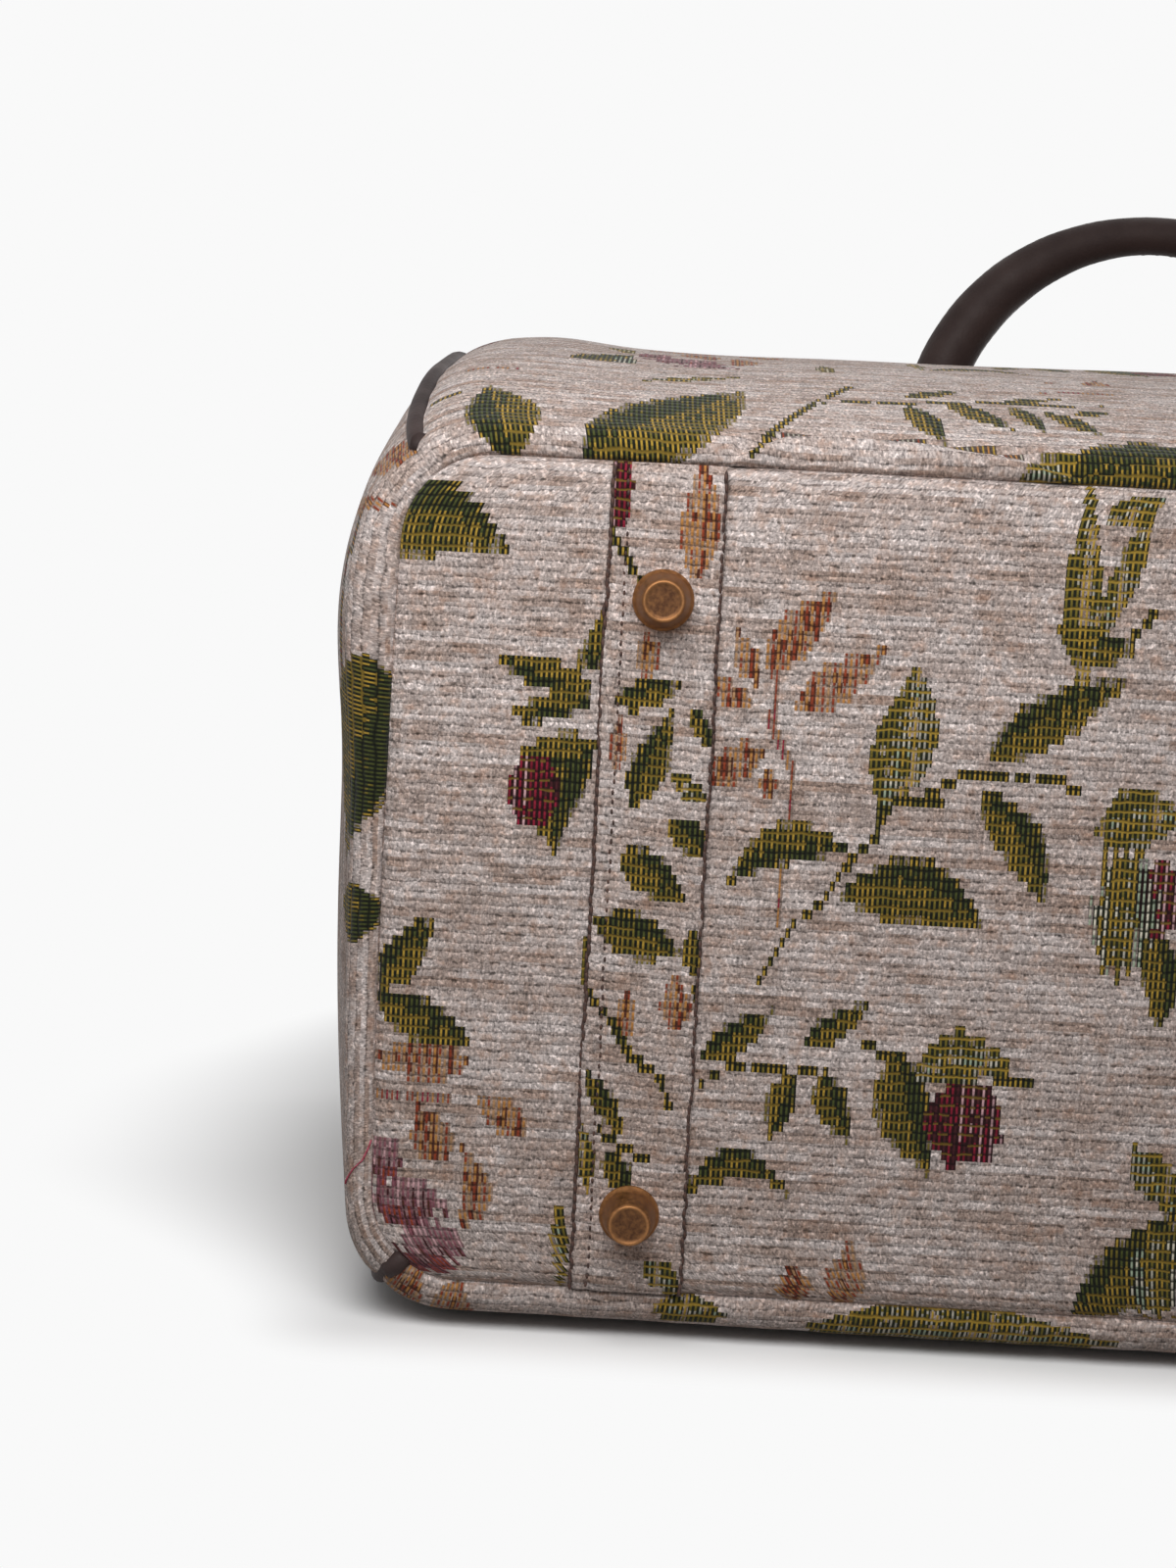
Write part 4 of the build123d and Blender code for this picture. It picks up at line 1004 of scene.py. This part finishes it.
def piping(name, edge, start, sink, rise):
    """A circle carried along a cloth's edge from one row on; it starts sunk and rises out of the seam."""
    path = eased(edge[start:])
    run = np.linalg.norm(path - path[0], axis=1)
    outside = [np.sign(path[:, 0]), 0 * run, np.sign(path[:, 2] - path[:, 2].mean())]
    away = np.stack(outside, axis=-1) / np.sqrt(2)
    path = path + (PIPING_LIFT - sink * np.exp(-run / rise))[:, None] * away
    path[:, 2] = np.maximum(path[:, 2], PIPING_RADIUS + FLOOR_GAP)
    ahead = unit(np.gradient(path, axis=0))
    level = unit(np.cross(ahead, np.array([0.0, 0.0, 1.0])))
    over = np.cross(level, ahead)
    radius = np.full(len(path), PIPING_RADIUS)
    grid = tube(path, over, level, radius, radius, PIPING_SIDES)
    put_tube(f"{name}_leather", grid, PIPING_LEATHER, "bag", "piping_leather", name)


piping("front_left_piping", front.grid[:, 0], start=8, sink=2.2, rise=7)
piping("front_right_piping", front.grid[:, -1], start=8, sink=2.2, rise=7)
piping("back_left_piping", back.grid[:, -1], start=1, sink=2.1, rise=20)
piping("back_right_piping", back.grid[:, 0], start=1, sink=2.1, rise=20)
print("four pipings")

# %% [markdown]
# ## A pulled thread
# One red warp end has worked out of the base seam and lies on the left gusset's roll. It is a thin
# tube through a few places on the cloth, lifted by its own radius.

# %% Pulled thread
# Places across and along the left gusset
PULLED = np.array([(-59.0, 0.6), (-61.0, 1.2), (-63.5, 2.2), (-65.5, 4.0), (-67.5, 5.6), (-69.5, 7.0)])
PULLED_RADIUS, PULLED_SIDES = 0.22, 8
step = np.linspace(0, len(PULLED) - 1, 31)
pulled_places = [np.interp(step, np.arange(len(PULLED)), PULLED[:, i]) for i in range(2)]
pulled_path = left.at(*pulled_places) + np.array([-1.0, -0.6, 0.0]) * PULLED_RADIUS
sideways = np.broadcast_to(np.array([1.0, 0.0, 0.0]), pulled_path.shape)
towards = np.broadcast_to(np.array([0.0, 1.0, 0.0]), pulled_path.shape)
RED_THREAD = waxed_thread("red_cotton_warp_end", "#8f2f40", "#b65266")
pulled_radius = np.full(len(step), PULLED_RADIUS)
pulled_grid = tube(pulled_path, towards, sideways, pulled_radius, pulled_radius, PULLED_SIDES)
put_tube("pulled_warp_end", pulled_grid, RED_THREAD, "bag", "tapestry")
pulled_length = np.linalg.norm(np.diff(pulled_path, axis=0), axis=1).sum()
print(f"pulled thread {pulled_length:.1f} mm")

# %% [markdown]
# ## Feet
# Four turned brass studs carry the bag when it stands. Each has a flared skirt, a waist and a small
# dished tip with a rubbed rim. Turned things are profiles swept round an axis. The wear is an attribute
# of the profile: bright where the tool left an edge and the floor polished it.

# %% Turned brass feet
FOOT_PROFILE = np.array([
    (0.0, 8.6, 0.0), (1.5, 8.6, 0.0), (3.0, 8.6, 0.0), (3.5, 8.65, 0.1), (3.75, 8.9, 0.3), (4.05, 9.0, 0.45),
    (4.35, 8.75, 0.4), (4.6, 8.0, 0.4), (4.9, 6.6, 0.4), (5.25, 4.6, 0.45), (5.6, 2.6, 0.5), (5.95, 1.3, 0.5),
    (6.4, 0.9, 0.7), (6.5, 0.4, 0.5), (6.4, 0.0, 0.1), (0.0, -0.3, 0.0),
])  # radius, height above the band, wear
FOOT_SIDES = 48
FOOT_ROWS = (29.2, 161.2)  # their heights on the base
FOOT_PLACES = [(side * BAND_X, z) for side in (-1, 1) for z in FOOT_ROWS]


def aged_brass(name, dark, bright, roughness):
    """Antiqued brass: brown patina in the hollows, polished metal on the edges."""
    m, shader, place = new_material(name)
    wear = node(m, "Attribute", attribute_name="wear")
    mottle = node(m, "TexNoise", {"Vector": place, "Scale": 900.0, "Detail": 5.0, "Roughness": 0.65})
    level = node(m, "Math", {0: mottle, 1: 0.9, 2: wear.outputs["Fac"]}, operation="MULTIPLY_ADD")
    clean = node(m, "MapRange", {0: level, 1: 0.35, 2: 1.25, 3: 0.0, 4: 1.0})
    colour = node(m, "Mix", {0: clean, 6: linear(dark), 7: linear(bright)}, data_type="RGBA")
    rough = node(m, "MapRange", {0: mottle, 1: 0.3, 2: 0.7, 3: roughness - 0.08, 4: roughness + 0.12})
    bump = node(m, "Bump", {"Strength": 0.25, "Distance": 0.0002, "Height": mottle})
    connect(m, shader, {"Base Color": colour.outputs[2], "Roughness": rough, "Normal": bump, "Metallic": 1.0})
    return m


FOOT_BRASS = aged_brass("antiqued_brass_feet", "#4a3224", "#a5754a", 0.5)
angle = np.linspace(0, 2 * np.pi, FOOT_SIDES, endpoint=False)
radius, height, wear = (FOOT_PROFILE[:, i] for i in range(3))
lathe = np.stack([radius[:, None] * np.cos(angle), np.repeat(-height[:, None], FOOT_SIDES, axis=1),
                  radius[:, None] * np.sin(angle)], axis=-1)
stud_quads = grid_quads(len(radius), FOOT_SIDES, wrap=True)
studs = np.stack([lathe + np.array([x, BASE_Y - BAND_THICK, z]) for x, z in FOOT_PLACES])
all_quads = np.concatenate([stud_quads + i * lathe.size // 3 for i in range(len(FOOT_PLACES))])
feet = put_mesh("brass_feet", studs, all_quads, FOOT_BRASS, "bag")
layer = feet.data.attributes.new("wear", "FLOAT", "POINT")
layer.data.foreach_set("value", np.tile(np.repeat(wear, FOOT_SIDES), len(FOOT_PLACES)).astype(np.float32))
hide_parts("base_feet")
print("four feet of", len(stud_quads), "faces")

# %% [markdown]
# ## Handles
# Each handle is leather rolled round a soft core: thick at the legs, slimmer over the top, and flat where
# it is folded round its ring. It is an oval carried along a path of two straight legs and a half circle,
# with the two half sizes changing along it. A row of saddle stitches runs up the inside of the arch.

# %% Rolled handles
SPAN_HALF, RING_REACH, NECK = 65.0, 14.0, 9.0  # half the span, from a ring's bar to the eye, on to the arch
EYE_RADIUS, EYE_HALF = 5.0, 7.5  # the fold round the ring: its radius, and half its width
ARCH_RADIUS_MID, ARCH_RADIUS_LEG = 5.4, 7.9  # of the roll
LEG_FADE = 75.0  # along the handle, from its thick leg to the slim middle
BLEND_START, BLEND_LENGTH = 6.0, 12.0  # from the flat eye to the round roll
HANDLE_SIDES, SEAM_COLUMN = 28, 12  # points round the roll; the seam is inside the arch, away from the base
HANDLE_STITCH = (3.2, 0.4)  # length and radius of a stitch
NECK_ROWS, STITCH_EVERY = 20, 3  # rows of the grid without stitches at either end, and from stitch to stitch
FRONT_AXIS, BACK_AXIS = (97.44, 181.44), (96.15, 8.92)  # y and z of the rings' bars
BACK_TURN = np.radians(-91.58)  # how the back handle lies, where the front one stands up


def handle_grid():
    """Path length s runs from one eye, up its leg, round the half circle and down to the other eye."""
    spring = RING_REACH + NECK
    foot_end = RING_REACH - EYE_RADIUS
    leg = spring - foot_end
    arc = np.pi * SPAN_HALF
    s = np.concatenate([
        np.linspace(0, EYE_RADIUS, 10),
        np.linspace(EYE_RADIUS, leg + arc - EYE_RADIUS + leg, 150)[1:-1],
        np.linspace(2 * leg + arc - EYE_RADIUS, 2 * leg + arc, 10),
    ])
    turn = np.clip((s - leg) / SPAN_HALF, 0, np.pi)
    drop = np.maximum(leg - s, 0) + np.maximum(s - leg - arc, 0)
    path = np.stack([SPAN_HALF * np.cos(turn), 0 * s, spring + SPAN_HALF * np.sin(turn) - drop], axis=-1)
    normal = np.stack([np.cos(turn), 0 * s, np.sin(turn)], axis=-1)
    binormal = np.broadcast_to(np.array([0.0, 1.0, 0.0]), normal.shape)
    from_end = np.minimum(s, s[-1] - s)
    eye_thick = np.sqrt(np.maximum(EYE_RADIUS**2 - np.maximum(EYE_RADIUS - from_end, 0) ** 2, 0.01))
    near_leg = np.exp(-(((from_end - leg) / LEG_FADE) ** 4))
    body = ARCH_RADIUS_MID + (ARCH_RADIUS_LEG - ARCH_RADIUS_MID) * near_leg
    blend = np.clip((from_end - BLEND_START) / BLEND_LENGTH, 0, 1)
    blend = blend * blend * (3 - 2 * blend)
    wide = EYE_HALF * (1 - blend) + body * blend
    thick = eye_thick * (1 - blend) + body * blend
    wrinkle = 1 + 0.004 * np.sin(s * 1.9) + 0.005 * np.sin(s * 0.43 + 1)
    return tube(path, normal, binormal, wide * wrinkle, thick * wrinkle, HANDLE_SIDES)


def seated(grid, axis, turn):
    """Turn a grid about the ring axis and carry it to its seat."""
    y = grid[..., 1] * np.cos(turn) - grid[..., 2] * np.sin(turn) + axis[0]
    z = grid[..., 1] * np.sin(turn) + grid[..., 2] * np.cos(turn) + axis[1]
    return np.stack([grid[..., 0], y, z], axis=-1)


def handle(name, axis, turn):
    """A handle at its seat, with a row of stitches up one column of its grid between the necks."""
    body = f"{name}_swing_body"
    grid = seated(handle_grid(), axis, turn)
    put_tube(f"{name}_leather", grid, HANDLE_LEATHER, body, "handle_leather", name)
    sewn = grid[NECK_ROWS:-NECK_ROWS, SEAM_COLUMN]
    ahead = unit(np.gradient(sewn, axis=0))
    over = outward(grid)[NECK_ROWS:-NECK_ROWS, SEAM_COLUMN]
    sewn, ahead, over = (line[::STITCH_EVERY] for line in (sewn, ahead, over))
    stitch_row(f"{name}_stitching", sewn, ahead, over, *HANDLE_STITCH, SADDLE_THREAD, body, "handle_leather")
    print(name, grid.shape, "stitches", len(sewn))


SADDLE_THREAD = waxed_thread("brown_saddle_thread", "#4a3830", "#6d574b")
handle("front_handle", FRONT_AXIS, 0.0)
handle("back_handle", BACK_AXIS, BACK_TURN)

# %% [markdown]
# ## Tabs that hold the rings
# A leather tab is sewn flat to the panel under each ring, and its end is rolled round the ring's bar. The
# flat part is drawn from the cloth's own points and lifted along its normals, with edges that fall to the
# cloth and stitches inside them.

# %% Ring tabs
TAB_HALF, TAB_THICK = 13.0, 3.0  # half its width, and its thickness
TAB_BELOW, TAB_ABOVE = 34.0, 9.0  # its reach from the ring's bar towards the base, and towards the top
TAB_SUNK = 0.6  # its edges below the cloth
TAB_ROWS, TAB_COLUMNS, TAB_INSET = 49, 33, 3  # points along and across, and how many in the stitches are
LOOP_RADIUS, LOOP_SIDES = 4.6, 24
TAB_STITCH = (1.9, 0.36)  # length and radius of a stitch


def tab_patch(wall, x, axis_y, up):
    """A patch of the cloth's own points, lifted along its normals by a flat top with rounded sides."""
    across = np.linspace(-1, 1, TAB_COLUMNS)[None, :]
    along = np.linspace(-1, 1, TAB_ROWS)[:, None]
    y = axis_y + (TAB_ABOVE - TAB_BELOW) / 2 + along * (TAB_ABOVE + TAB_BELOW) / 2
    middle = wall.grid.shape[1] // 2
    grid = wall.at(x + up * across * TAB_HALF, np.interp(y, wall.grid[:, middle, 1], wall.run))
    lift = flat_top(across, 10) * flat_top(along, 16)
    return grid + outward(grid) * (TAB_THICK * lift - TAB_SUNK)[..., None]


def tab_stitches(name, patch):
    """A rectangle of stitches, a few rows and columns inside the edge of the patch."""
    high, wide = TAB_ROWS - 1 - TAB_INSET, TAB_COLUMNS - 1 - TAB_INSET
    rows, columns = (np.arange(TAB_INSET + 2, end, STITCH_EVERY) for end in (high, wide))
    row = np.concatenate([rows, rows, TAB_INSET + 0 * columns, high + 0 * columns])
    column = np.concatenate([TAB_INSET + 0 * rows, wide + 0 * rows, columns, columns])
    upright = (np.arange(len(row)) < 2 * len(rows))[:, None]
    up, over = np.gradient(patch, axis=0), np.gradient(patch, axis=1)
    ahead = unit(np.where(upright, up[row, column], over[row, column]))
    middles, normals = patch[row, column], outward(patch)[row, column]
    stitch_row(name, middles, ahead, normals, *TAB_STITCH, SADDLE_THREAD, "bag", "handle_leather")


def ring_loop(x, axis):
    """A short roll about the ring's bar: a circle along X, drawn in at both ends."""
    share = np.linspace(-1, 1, 17)
    path = np.stack([x + share * EYE_HALF, 0 * share + axis[0], 0 * share + axis[1]], axis=-1)
    normal = np.broadcast_to(np.array([0.0, 1.0, 0.0]), path.shape)
    binormal = np.broadcast_to(np.array([0.0, 0.0, 1.0]), path.shape)
    radius = LOOP_RADIUS * (0.72 + 0.28 * (1 - share**8) ** 0.5)
    return tube(path, normal, binormal, radius, radius, LOOP_SIDES)


def ring_tabs(face, wall, axis, up):
    """A sewn tab, the loop round the ring's bar and the stitching, for each of a handle's two rings."""
    for side_name, x in (("left", -SPAN_HALF), ("right", SPAN_HALF)):
        patch = tab_patch(wall, x, axis[0], up)
        patch_quads = grid_quads(*patch.shape[:2])
        tab = put_mesh(f"{face}_{side_name}_tab", patch, patch_quads, HANDLE_LEATHER, "bag")
        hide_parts(f"{face}_handle_tabs")
        put_tube(f"{face}_{side_name}_loop", ring_loop(x, axis), HANDLE_LEATHER, "bag", "handle_leather",
                 f"{face}_handle_tabs")
        tab_stitches(f"{face}_{side_name}_tab_stitching", patch)


ring_tabs("front", front, FRONT_AXIS, 1)
ring_tabs("back", back, BACK_AXIS, -1)
print("four tabs")

# %% [markdown]
# ## The zipped top
# The top is a flat cut of tapestry with a long slot, and a zip sewn behind it. Its grid is cut along the
# slot's edges, and the cells inside the slot are dropped.

# %% Top cloth
ZIP_Z, SLOT_HALF, SLOT_END = 87.0, 5.5, 168.15  # the slot's height, half its width and half its length
SLOT_DROP = 2.4  # the cloth is turned in at the slot
TOP_Y = BODY_HEIGHT / 2
TOP_SWAY, TOP_SWAY_LENGTH = 0.4, 70.0  # slow waves of the cloth


def top_half_width(z):
    """Half width of the top at a height: the bowed side, and a quarter circle at each corner."""
    s = Section(np.array([1.0]))
    up = np.abs(z - s.middle)
    side = s.side_centre + np.sqrt((s.side_radius - WALL) ** 2 - up**2)
    corner = s.corner_x + np.sqrt(np.maximum((CORNER - WALL) ** 2 - np.maximum(up - s.corner_z, 0) ** 2, 0))
    return np.where(up < (s.side_radius - WALL) * np.sin(s.side_angle), side, corner)


top = Section(np.array([1.0]))
z_low, z_high = float(top.back[0]) + WALL, float(top.front[0]) - WALL
slot_low, slot_high = ZIP_Z - SLOT_HALF, ZIP_Z + SLOT_HALF
z_line = np.concatenate([
    np.linspace(z_high, slot_high, 22),
    np.linspace(slot_high, slot_low, 7)[1:],
    np.linspace(slot_low, z_low, 22)[1:],
])
# Columns run from -1 to 1 along the slot, and on to 2 at the side seams
x_line = np.concatenate([
    np.linspace(-1.0, 0, 20) - 1,
    np.linspace(-1, 1, 270)[1:],
    np.linspace(0, 1.0, 20)[1:] + 1,
])
wide = top_half_width(z_line)[:, None]
past_slot = SLOT_END + (np.abs(x_line) - 1) * (wide - SLOT_END)
x_grid = np.where(np.abs(x_line) <= 1, x_line * SLOT_END, np.sign(x_line) * past_slot)
z_grid = np.broadcast_to(z_line[:, None], x_grid.shape)
from_seam = np.minimum(np.minimum(z_grid - z_low, z_high - z_grid), wide - np.abs(x_grid))
y_grid = TOP_Y - SEAM_DIP * np.exp(-np.maximum(from_seam, 0) / SEAM_REACH)
y_grid = y_grid + TOP_SWAY * ripples(x_grid, z_grid, 41, TOP_SWAY_LENGTH)
in_slot = np.maximum(np.abs(z_grid - ZIP_Z) / SLOT_HALF, np.abs(x_grid) / SLOT_END)
y_grid = y_grid - SLOT_DROP * (np.abs(z_grid - ZIP_Z) <= SLOT_HALF) * (np.abs(x_grid) <= SLOT_END)
top_grid = np.stack([x_grid, y_grid, z_grid], axis=-1)
keep = (cell_middles(in_slot) > 1).ravel()
top_chart = repeat_chart(cell_middles(x_grid), cell_middles(z_grid), 42, (5, 70)).chart()
kept_chart = {key: yarns.reshape(-1, 4)[keep] for key, yarns in top_chart.items()}
kept_quads, kept_uv = grid_quads(*x_grid.shape)[keep], grid_uv(*x_grid.shape)[keep]
top_piece = put_mesh("top_cloth", top_grid, kept_quads, TAPESTRY, "bag", kept_uv, kept_chart)
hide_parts("top_panel")
print("top", x_grid.shape, "cells kept", int(keep.sum()))

# %% [markdown]
# ## Zip tapes
# Each half of the zip is woven on a cotton tape with fine diagonal ribs, and its edge by the teeth is a
# thin bead. The tape is a narrow grid whose height is flat in the middle and falls away at both edges.

# %% Zip tapes
TAPE_HALF, TAPE_INNER, TAPE_OUTER = 174.0, 2.8, 14.0  # half its length, and its edges from the zip's middle
TAPE_LOW, TAPE_HIGH = 125.6, 126.5  # y of its edges, and of its middle
BEAD, BEAD_IN, BEAD_HALF = 0.3, 0.9, 0.6  # its height, its distance from the inner edge and its half width
TAPE_SWAY, TAPE_SWAY_LENGTH = 0.05, 30.0  # slow waves of the tape


def twill_tape():
    """Cotton twill tape: fine diagonal ribs, matt."""
    m, shader, place = new_material("cotton_twill_tape")
    ribs = node(m, "TexWave", {"Vector": place, "Scale": 260.0, "Distortion": 0.6},
                bands_direction="DIAGONAL")
    dark, pale = linear("#3b302b"), linear("#5a4a42")
    colour = node(m, "Mix", {0: ribs.outputs["Fac"], 6: dark, 7: pale}, data_type="RGBA")
    bump = node(m, "Bump", {"Strength": 0.4, "Distance": 0.0002, "Height": ribs.outputs["Fac"]})
    connect(m, shader, {"Base Color": colour.outputs[2], "Normal": bump, "Roughness": 0.9})
    return m


def zip_tape(name, side):
    """A strip along X: a flat top with rounded sides, and a bead beside the teeth."""
    x = np.linspace(-TAPE_HALF, TAPE_HALF, 175)[:, None]
    share = np.linspace(-1, 1, 15)[None, :]
    z = ZIP_Z + side * (TAPE_INNER + TAPE_OUTER) / 2 + share * (TAPE_OUTER - TAPE_INNER) / 2
    bead = BEAD * bell(np.abs(z - ZIP_Z) - TAPE_INNER - BEAD_IN, BEAD_HALF)
    y = TAPE_LOW + (TAPE_HIGH - TAPE_LOW) * flat_top(share) + bead
    y = y + TAPE_SWAY * ripples(x, z, 51, TAPE_SWAY_LENGTH)
    grid = np.stack(np.broadcast_arrays(x, y, z), axis=-1)
    made = put_mesh(f"{name}_cotton", grid, grid_quads(*grid.shape[:2]), TWILL, "bag")
    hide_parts(name)
    print(name, grid.shape[:2])


TWILL = twill_tape()
zip_tape("front_zip_tape", 1)
zip_tape("back_zip_tape", -1)

# %% [markdown]
# ## Finishes of the hardware
# The rings and the zip are aged brass like the feet, but brighter. These solids are right as they come
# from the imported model, so only their materials change. The board and the washers are inside the bag.

# %% Finishes for the carried-over parts
def fibre_board():
    """Pressed fibreboard: flecked brown card."""
    m, shader, place = new_material("pressed_fibreboard")
    fleck = node(m, "TexNoise", {"Vector": place, "Scale": 700.0, "Detail": 4.0})
    colour = node(m, "Mix", {0: fleck, 6: linear("#6b5845"), 7: linear("#8d7a63")}, data_type="RGBA")
    connect(m, shader, {"Base Color": colour.outputs[2], "Roughness": 0.9})
    return m


RING_BRASS = aged_brass("antiqued_brass_rings", "#5a4330", "#c9a26c", 0.32)
ZIP_METAL = aged_brass("antiqued_zip_metal", "#5b4a38", "#cbb07c", 0.36)
FIBRE_BOARD = fibre_board()
FINISHES = {
    "base_board": FIBRE_BOARD, "front_handle_rings": RING_BRASS, "back_handle_rings": RING_BRASS,
    "foot_washers": RING_BRASS, "front_zip_teeth": ZIP_METAL, "back_zip_teeth": ZIP_METAL,
    "zip_stops": ZIP_METAL, "zip_slider": ZIP_METAL, "zip_pull": ZIP_METAL,
}
for name, material in FINISHES.items():
    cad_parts[name].data.materials.clear()
    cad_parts[name].data.materials.append(material)
print("finished", len(FINISHES), "carried-over parts")

# %% [markdown]
# ## Camera
# The camera looks at the base from low down, left of the middle, so the crest of the front panel shows
# above it. Its three angles and its place were fitted to the base's seams and feet.

# %% Camera
CAMERA_PLACE = np.array([-148.9, -645.8, 176.9])  # mm
YAW, PITCH, ROLL = -0.87, -6.13, 3.04  # degrees
LENS, SENSOR = 56.25, 36.0  # mm


def facing(yaw, pitch, roll):
    """Right, up and backward directions of a camera, as columns, from its three angles in degrees."""
    yaw, pitch, roll = np.radians([yaw, pitch, roll])
    ahead = np.array([np.sin(yaw) * np.cos(pitch), np.cos(yaw) * np.cos(pitch), np.sin(pitch)])
    level = np.array([np.cos(yaw), -np.sin(yaw), 0.0])
    right = np.cos(roll) * level + np.sin(roll) * np.cross(level, ahead)
    return np.stack([right, np.cross(right, ahead), -ahead], axis=1)


camera = bpy.data.objects.new("camera", bpy.data.cameras.new("camera"))
bpy.context.scene.collection.objects.link(camera)
camera.data.lens = LENS
camera.data.sensor_width = SENSOR
camera.data.clip_start = 0.01
stand = np.eye(4)
stand[:3, :3] = facing(YAW, PITCH, ROLL)
stand[:3, 3] = CAMERA_PLACE * MM
camera.matrix_world = Matrix(stand.tolist())
bpy.context.scene.camera = camera
print("camera at", stand[:3, 3])

# %% [markdown]
# ## Floor
# The bag lies on white paper that only has to hold its shadow. A little way from the bag the paper turns
# to plain white light, so no edge or horizon shows, and it throws less light back on the bag than real
# paper would.

# %% Floor
FLOOR_HALF = 12.0  # m
SKY_WHITE = linear("#f9f9f9")  # the white that the camera sees all round
FOOTPRINT_MIDDLE, FOOTPRINT_HALF = (0.0, 0.03, 0.0), (0.2, 0.157, 0.0)  # m, the ground the bag covers
FADE_FRONT, FADE_BACK = 0.028, 0.1  # m, how far the shadow reaches in front of the bag and behind it
FADE_SIDE, FADE_CORNER = 0.11, 0.03  # m, the same beside the gussets' middle, and at the corners
FRONT_CORNERS, BACK_CORNERS = (-0.13, 0.0), (0.05, 0.3)  # m along Y, where one turns into the other
MIDDLE = (-0.05, 0.05)  # m along Y, where the front's reach turns into the back's


def seen_rays(owner):
    """One for rays that the camera sees, straight or by mirror or glass; nought for light that bounces."""
    rays = node(owner, "LightPath")
    seen = rays.outputs["Is Camera Ray"]
    for kind in ("Is Glossy Ray", "Is Transmission Ray"):
        seen = node(owner, "Math", {0: seen, 1: rays.outputs[kind]}, operation="MAXIMUM")
    return seen


def white_floor():
    """Seamless white paper, matt. Away from the bag it is as white as the sky."""
    m, shader, place = new_material("white_paper_floor")
    seen = seen_rays(m)
    paper = node(m, "Mix", {0: seen, 6: linear("#a8a6a4"), 7: linear("#fdfdfd")}, data_type="RGBA")
    connect(m, shader, {"Base Color": paper.outputs[2], "Roughness": 1.0, "Specular IOR Level": 0.0})
    from_middle = node(m, "VectorMath", {0: place, 1: FOOTPRINT_MIDDLE}, operation="SUBTRACT")
    one_side = node(m, "VectorMath", {0: from_middle}, operation="ABSOLUTE")
    beyond = node(m, "VectorMath", {0: one_side, 1: FOOTPRINT_HALF}, operation="SUBTRACT")
    beyond = node(m, "VectorMath", {0: beyond, 1: (0.0, 0.0, 0.0)}, operation="MAXIMUM")
    apart = node(m, "SeparateXYZ", {0: beyond})
    depth = node(m, "SeparateXYZ", {0: place}).outputs["Y"]
    swell = node(m, "MapRange", {0: depth, 1: FRONT_CORNERS[0], 2: FRONT_CORNERS[1],
                                 3: FADE_CORNER, 4: FADE_SIDE}, interpolation_type="SMOOTHSTEP")
    wane = node(m, "MapRange", {0: depth, 1: BACK_CORNERS[0], 2: BACK_CORNERS[1],
                                3: FADE_SIDE, 4: FADE_CORNER}, interpolation_type="SMOOTHSTEP")
    reach = node(m, "Math", {0: swell, 1: wane}, operation="MINIMUM")
    beside = node(m, "Math", {0: apart.outputs["X"], 1: reach}, operation="DIVIDE")
    room = node(m, "MapRange", {0: depth, 1: MIDDLE[0], 2: MIDDLE[1], 3: FADE_FRONT, 4: FADE_BACK})
    ahead = node(m, "Math", {0: apart.outputs["Y"], 1: room}, operation="DIVIDE")
    both = node(m, "CombineXYZ", {0: beside, 1: ahead})
    away = node(m, "VectorMath", {0: both}, operation="LENGTH")
    far = node(m, "MapRange", {0: away.outputs["Value"], 1: 0.0, 2: 1.0}, interpolation_type="SMOOTHSTEP")
    fade = node(m, "Math", {0: far, 1: seen}, operation="MULTIPLY")
    glow = node(m, "Emission", {"Color": SKY_WHITE, "Strength": 1.0})
    mixed = node(m, "MixShader", {0: fade, 1: shader, 2: glow})
    connect(m, m.node_tree.nodes["Material Output"], {"Surface": mixed})
    return m


floor_mesh = bpy.data.meshes.new("floor")
corners = np.array([(-1, -1, 0), (1, -1, 0), (1, 1, 0), (-1, 1, 0)]) * FLOOR_HALF
floor_mesh.from_pydata(corners.tolist(), [], [(0, 1, 2, 3)])
floor_mesh.materials.append(white_floor())
floor = bpy.data.objects.new("floor", floor_mesh)
bpy.context.scene.collection.objects.link(floor)
print("floor", 2 * FLOOR_HALF, "m wide")

# %% [markdown]
# ## Light
# A white sky gives the soft light of a tent. A softbox above the base gives it its fall-off from top to
# bottom, one overhead lights the front panel, and one behind lights the zipped side, which the camera
# does not see.

# %% Sky and lamps
SKY = 0.22  # strength of the sky's own light
world = bpy.data.worlds.new("white_tent")
world.use_nodes = True
bpy.context.scene.world = world
sky = world.node_tree.nodes["Background"]
level = node(world, "MapRange", {0: seen_rays(world), 3: SKY, 4: float(SKY_WHITE[0])})
connect(world, sky, {"Color": (1.0, 1.0, 1.0, 1.0), "Strength": level})


def softbox(name, place, aim, size, watts):
    """A square lamp at a place, in metres, turned to face a point."""
    lamp = bpy.data.objects.new(name, bpy.data.lights.new(name, "AREA"))
    lamp.data.size = size
    lamp.data.energy = watts
    lamp.visible_camera = False
    back = np.array(place) - np.array(aim)
    back = back / np.linalg.norm(back)
    level = np.cross([0.0, 1.0, 0.0], back)
    level = level / np.linalg.norm(level)
    turned = np.eye(4)
    turned[:3, :3] = np.stack([level, np.cross(back, level), back], axis=1)
    turned[:3, 3] = place
    lamp.matrix_world = Matrix(turned.tolist())
    bpy.context.scene.collection.objects.link(lamp)


softbox("key_softbox", (-0.18, -0.37, 0.38), (-0.08, -0.12, 0.14), size=0.3, watts=1.5)
softbox("top_softbox", (0.25, 0.35, 1.1), (0.0, 0.05, 0.1), size=0.8, watts=0.8)
softbox("back_softbox", (0.35, 0.85, 0.45), (0.0, 0.1, 0.1), size=0.6, watts=4.5)
bpy.context.scene.view_settings.view_transform = "Standard"
print("three softboxes, sky", SKY)
